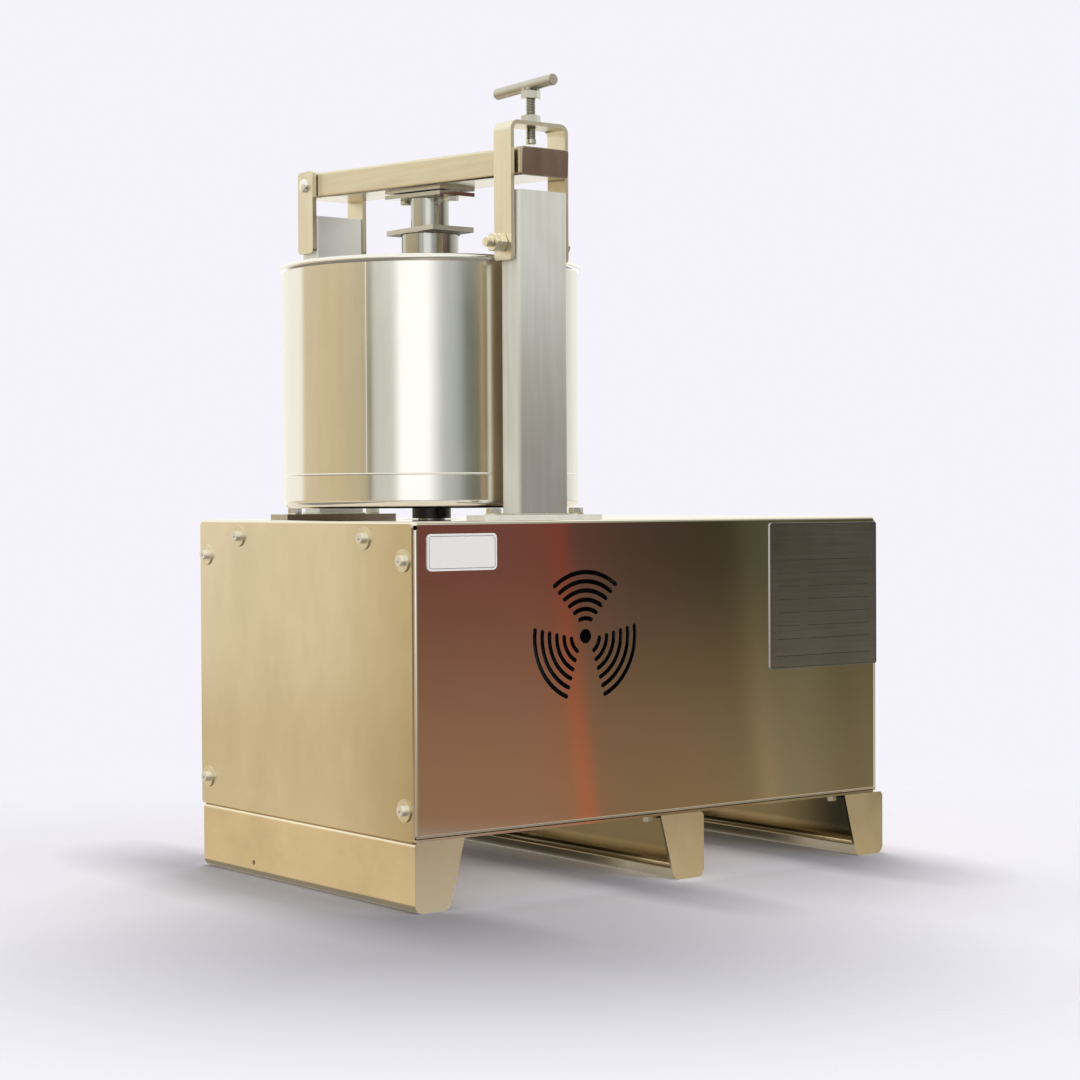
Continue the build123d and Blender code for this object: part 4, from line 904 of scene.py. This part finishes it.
hinge_low, hinge_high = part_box("hinge_bolt")
hinge = (hinge_low + hinge_high) / 2
hinge_thread = 13 * mm
shank_start, hinge_nut_seat = hinge_low.x + 3 * mm, hinge_high.x - 12 * mm
dome_radius, dome_height, dome_rounding = 7.5 * mm, 4 * mm, 3 * mm
mesh = bmesh.new()
dome = round_bar(dome_radius, dome_height, 40, dome_rounding, 5)
set_into(mesh, dome, beside(hinge, hinge_low.x + dome_height), to_left)
shank = plain_rod(shank_radius, hinge_nut_seat - shank_start)
set_into(mesh, shank, beside(hinge, shank_start), to_right)
thread = threaded_rod(thread_radius, thread_pitch, hinge_thread)
set_into(mesh, thread, beside(hinge, hinge_high.x - hinge_thread), to_right)
dress(to_object(mesh, "hinge_fastener"), screw_steel, "stand", "fastener_steel", "hinge_bolt",
      second=thread_dark)

jam_height, pivot_nut_height = 5 * mm, 7.7 * mm
mesh = bmesh.new()
set_into(mesh, hexagon(nut_flats, jam_height, True), beside(pivot, jam_seat), to_left)
set_into(mesh, hexagon(nut_flats, pivot_nut_height, True), beside(pivot, jam_seat + nut_height), to_left)
set_into(mesh, hexagon(nut_flats, nut_height, True), beside(hinge, hinge_nut_seat), to_right)
dress(to_object(mesh, "pivot_hexagons"), pivot_steel, "stand", "fastener_steel", "pivot_nuts", smooth=False)

# %% [markdown]
# ## Bolts of the feet, the base and the flange
# Two bolts hold each post's foot to the cabinet's top, more hold the legs and the folded rim to the base
# plate, and two hang below the flange plates. Each could be made by hand, but they differ only in size and
# place, so a loop makes each set.

# %% Sets of bolts
post_ys = (-178 * mm, 188 * mm)
foot_bolt_reach, foot_bolt_length = 51 * mm, 16 * mm
bolt_flats, bolt_head, bolt_radius = 13 * mm, 5.3 * mm, 4 * mm
foot_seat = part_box("foot_bolts")[1].z - bolt_head
mesh = bmesh.new()
for post_y in post_ys:
    for way in (-1, 1):
        spot = (drum_x + way * foot_bolt_reach, post_y, foot_seat)
        set_into(mesh, hexagon(bolt_flats, bolt_head), spot, to_top)
        set_into(mesh, plain_rod(bolt_radius, foot_bolt_length), spot, to_base)
dress(to_object(mesh, "foot_hexagons"), bolt_steel, "stand", "fastener_steel", "foot_bolts", smooth=False)

small_flats, small_radius, small_nut = 10 * mm, 3 * mm, 5
leg_spots = [(x * mm, y * mm, 64.5 * mm) for x in (-265.8, 12.3, 274) for y in (-128.5, 131.5)]
rim_spots = [(x * mm, y * mm, 67.5 * mm) for x in (-11.7, 250) for y in (-188, 191)]
mesh = bmesh.new()
for spots, head, grip in ((leg_spots, 4.0, 5.5), (rim_spots, 6.4, 4.5)):
    for x, y, z in spots:
        set_into(mesh, hexagon(small_flats, head * mm), (x, y, z), to_base)
        set_into(mesh, plain_rod(small_radius, (grip + small_nut) * mm), (x, y, z), to_top)
        set_into(mesh, hexagon(small_flats, small_nut * mm), (x, y, z + grip * mm), to_top)
dress(to_object(mesh, "base_hexagons"), bolt_steel, "stand", "fastener_steel", "base_bolts", smooth=False)

beam_slope = radians(2.3)
beam_level, hinge_reach = 735 * mm, 188 * mm
flange_depth, flange_bolt_reach, flange_bolt_length = 23 * mm, 40 * mm, 9 * mm
flange_down = Vector((0, sin(beam_slope), -cos(beam_slope)))
flange_along = Vector((0, cos(beam_slope), sin(beam_slope)))
flange_middle = Vector((drum_x, 0, beam_level - hinge_reach * sin(beam_slope) / cos(beam_slope)))
flange_seat = flange_middle + flange_down * flange_depth
mesh = bmesh.new()
for way in (-1, 1):
    spot = flange_seat + flange_along * way * flange_bolt_reach
    set_into(mesh, hexagon(bolt_flats, bolt_head), spot, flange_down)
    set_into(mesh, plain_rod(bolt_radius, flange_bolt_length), spot, -flange_down)
dress(to_object(mesh, "flange_hexagons"), bolt_steel, "beam", "fastener_steel", "flange_bolts", smooth=False)

# %% [markdown]
# ## Weld beads
# The posts are welded to their foot plates, the tubes to their plates, and the cross bar to its nut. A weld
# is a row of overlapping drops. A swept tube would look like a gasket, so each drop is a small ball with few
# faces, set a little further along the joint, and sunk into the corner by half.

# %% Drops of weld
def bead_row(mesh, points, radius):
    """Adds a drop of weld at each point."""
    for number, point in enumerate(points):
        size = radius * (1 + 0.12 * sin(2.4 * number))
        bmesh.ops.create_uvsphere(mesh, u_segments=8, v_segments=5, radius=size,
                                  matrix=Matrix.Translation(point))


def ring_points(centre, radius, count):
    """Points on a level circle."""
    angles = [2 * pi * number / count for number in range(count)]
    return [Vector(centre) + Vector((radius * cos(a), radius * sin(a), 0)) for a in angles]


def frame_points(centre, width, depth, step):
    """Points on a level rectangle, a step apart."""
    points = []
    for way in (-1, 1):
        for number in range(int(width / step) + 1):
            points.append(Vector(centre) + Vector((number * step - width / 2, way * depth / 2, 0)))
        for number in range(int(depth / step) + 1):
            points.append(Vector(centre) + Vector((way * width / 2, number * step - depth / 2, 0)))
    return points


# %% Weld beads
post_width, post_depth, foot_top = 60 * mm, 30 * mm, 375.2 * mm
post_drop, tube_drop, bar_drop = 1.6 * mm, 1.4 * mm, 2.0 * mm
holder_weld_radius, flange_weld_radius = 29.9 * mm, 20.1 * mm
mesh = bmesh.new()
for post_y in post_ys:
    joint = frame_points((drum_x, post_y, foot_top), post_width, post_depth, 2.0 * mm)
    bead_row(mesh, joint, post_drop)
dress(to_object(mesh, "post_welds"), weld_steel, "stand", "tube_steel")

plate_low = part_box("holder_plate")[0].z
mesh = bmesh.new()
bead_row(mesh, ring_points((drum_x, 0, plate_low - 0.2 * mm), holder_weld_radius, 96), tube_drop)
dress(to_object(mesh, "holder_weld"), weld_steel, "stone_holder", "tube_steel")

mesh = bmesh.new()
ring = ring_points((drum_x, 0, flange_seat.z), flange_weld_radius, 66)
bead_row(mesh, [point + Vector((0, 0, 0.04 * point.y)) for point in ring], tube_drop)
dress(to_object(mesh, "flange_weld"), weld_steel, "beam", "tube_steel")

nut_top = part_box("handle_nut")[1].z
mesh = bmesh.new()
for way in (-1, 1):
    middle = Vector((drum_x, clamp_y + way * 3.6 * mm, nut_top + 0.8 * mm))
    bead_row(mesh, [middle + Vector((step * 1.6 * mm, 0, 0)) for step in range(-4, 5)], bar_drop)
dress(to_object(mesh, "handle_weld"), weld_steel, "clamp_screw", "fastener_steel")

# %% [markdown]
# ## The drum's joints
# The drum's wall and its pan meet in a groove that a thin bead fills, low on the drum, and a seam runs up the
# wall where the sheet's ends meet. Beads of drops would look like the rough welds above, but these were
# ground smooth. Each is a flat ellipse: one is spun once about the drum's axis, the other is extruded
# upwards.

# %% Drum joints
def ellipse(mesh, centre, outward, sideways):
    """A closed row of points on an ellipse."""
    angles = [radians(angle) for angle in range(0, 360, 30)]
    return [mesh.verts.new(centre + outward * cos(a) + sideways * sin(a)) for a in angles]


rim_reach, pan_level, seam_stop = 3.6 * mm, 416 * mm, 6 * mm
drum_low, drum_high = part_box("drum_shell")
drum_radius = (drum_high.x - drum_low.x) / 2 - rim_reach
joint = Vector((drum_x, 0, pan_level))
mesh = bmesh.new()
start = joint + Vector((drum_radius, 0, 0))
points = ellipse(mesh, start, Vector((0.6 * mm, 0, 0)), Vector((0, 0, 1.0 * mm)))
for first, second in zip(points, points[1:] + points[:1]):
    mesh.edges.new((first, second))
bmesh.ops.spin(mesh, geom=mesh.verts[:] + mesh.edges[:], cent=joint, axis=(0, 0, 1),
               angle=2 * pi, steps=160, use_merge=True)
seam_angle = radians(210.3)
seam_way = Vector((cos(seam_angle), sin(seam_angle), 0))
seam_side = Vector((-seam_way.y, seam_way.x, 0))
points = ellipse(mesh, joint + seam_way * drum_radius, seam_way * 0.35 * mm, seam_side * 1.1 * mm)
raised = bmesh.ops.extrude_face_region(mesh, geom=[mesh.faces.new(points)])
top = [v for v in raised["geom"] if isinstance(v, bmesh.types.BMVert)]
bmesh.ops.translate(mesh, vec=(0, 0, drum_high.z - joint.z - seam_stop), verts=top)
dress(to_object(mesh, "drum_joints"), drum_steel, "drum", "polished_steel")

# %% [markdown]
# ## Bare plates
# A small bright plate and a larger dark one are fixed to the front. Both stay blank: the small one has only a
# border line and rivets, the large one a border and empty ruled lines. Each starts as a square whose corners
# are rounded by a vertex bevel. It is extruded, its rim is bevelled, and two insets sink the border line. The
# lines could be painted in the finish, but as thin bars they stay sharp close up.

# %% Plates and bars
line_width, line_depth, bar_thickness = 0.5 * mm, 0.1 * mm, 0.1 * mm
rim_bevel = 0.3 * mm


def bare_plate(width, height, thickness, corner, border):
    """A blank plate along Z with rounded corners and a sunk border line in the second finish."""
    part = bmesh.new()
    bmesh.ops.create_grid(part, x_segments=1, y_segments=1, size=0.5)
    bmesh.ops.scale(part, vec=(width, height, 1), verts=part.verts)
    bmesh.ops.bevel(part, geom=part.verts[:], offset=corner, offset_type="OFFSET", affect="VERTICES",
                    segments=3, profile=0.5, material=-1)
    raised = bmesh.ops.extrude_face_region(part, geom=part.faces[:])
    corners = [v for v in raised["geom"] if isinstance(v, bmesh.types.BMVert)]
    bmesh.ops.translate(part, vec=(0, 0, thickness), verts=corners)
    rim = [e for e in part.edges if all(v.co.z > thickness / 2 for v in e.verts)]
    bmesh.ops.bevel(part, geom=rim, offset=rim_bevel, offset_type="OFFSET", affect="EDGES",
                    segments=2, profile=0.5, material=-1)
    bmesh.ops.recalc_face_normals(part, faces=part.faces)
    top = [f for f in part.faces if f.normal.z > 0.99]
    bmesh.ops.inset_region(part, faces=top, thickness=border, depth=0)
    line = bmesh.ops.inset_region(part, faces=top, thickness=line_width, depth=-line_depth)
    for face in line["faces"]:
        face.material_index = 1
    return part


def add_bar(part, x, y, width, height, level):
    """A thin bar of the second finish on a plate."""
    place = Matrix.Translation((x, y, level)) @ Matrix.Diagonal((width, height, bar_thickness, 1))
    made = bmesh.ops.create_cube(part, size=1, matrix=place)
    for face in {face for vert in made["verts"] for face in vert.link_faces}:
        face.material_index = 1


# %% Badge plate and data plate
front_y = -200 * mm
badge_place = (-251.3 * mm, front_y, 340.4 * mm)
rivet_radius, rivet_level = 1.3 * mm, 1.0 * mm
part = bare_plate(81.8 * mm, 35.3 * mm, 1.2 * mm, 4.5 * mm, 1.8 * mm)
for x in (-37, 37):
    for y in (-13.8, 13.8):
        bmesh.ops.create_uvsphere(part, u_segments=12, v_segments=6, radius=rivet_radius,
                                  matrix=Matrix.Translation((x * mm, y * mm, rivet_level)))
mesh = bmesh.new()
set_into(mesh, part, badge_place, to_front)
badge = to_object(mesh, "blank_badge")
dress(badge, badge_silver, "stand", "polished_steel", smooth=False, second=etched_dark)

part = bare_plate(158.5 * mm, 155 * mm, 1.5 * mm, 2.5 * mm, 1.2 * mm)
data_place = (226.75 * mm, front_y, 286.5 * mm)
bar_level, end_bar, row_bar = 1.45 * mm, 0.7 * mm, 0.6 * mm
for y in (38, -64):
    add_bar(part, 0, y * mm, 140 * mm, end_bar, bar_level)
for row in range(6):
    y = (24 - 14 * row) * mm
    add_bar(part, 22 * mm, y, 92 * mm, row_bar, bar_level)
    add_bar(part, -52 * mm, y, 32 * mm, row_bar, bar_level)
mesh = bmesh.new()
set_into(mesh, part, data_place, to_front)
data_plate = to_object(mesh, "blank_data_plate")
dress(data_plate, plate_dark, "stand", "cabinet_steel", smooth=False, second=etched_dark)
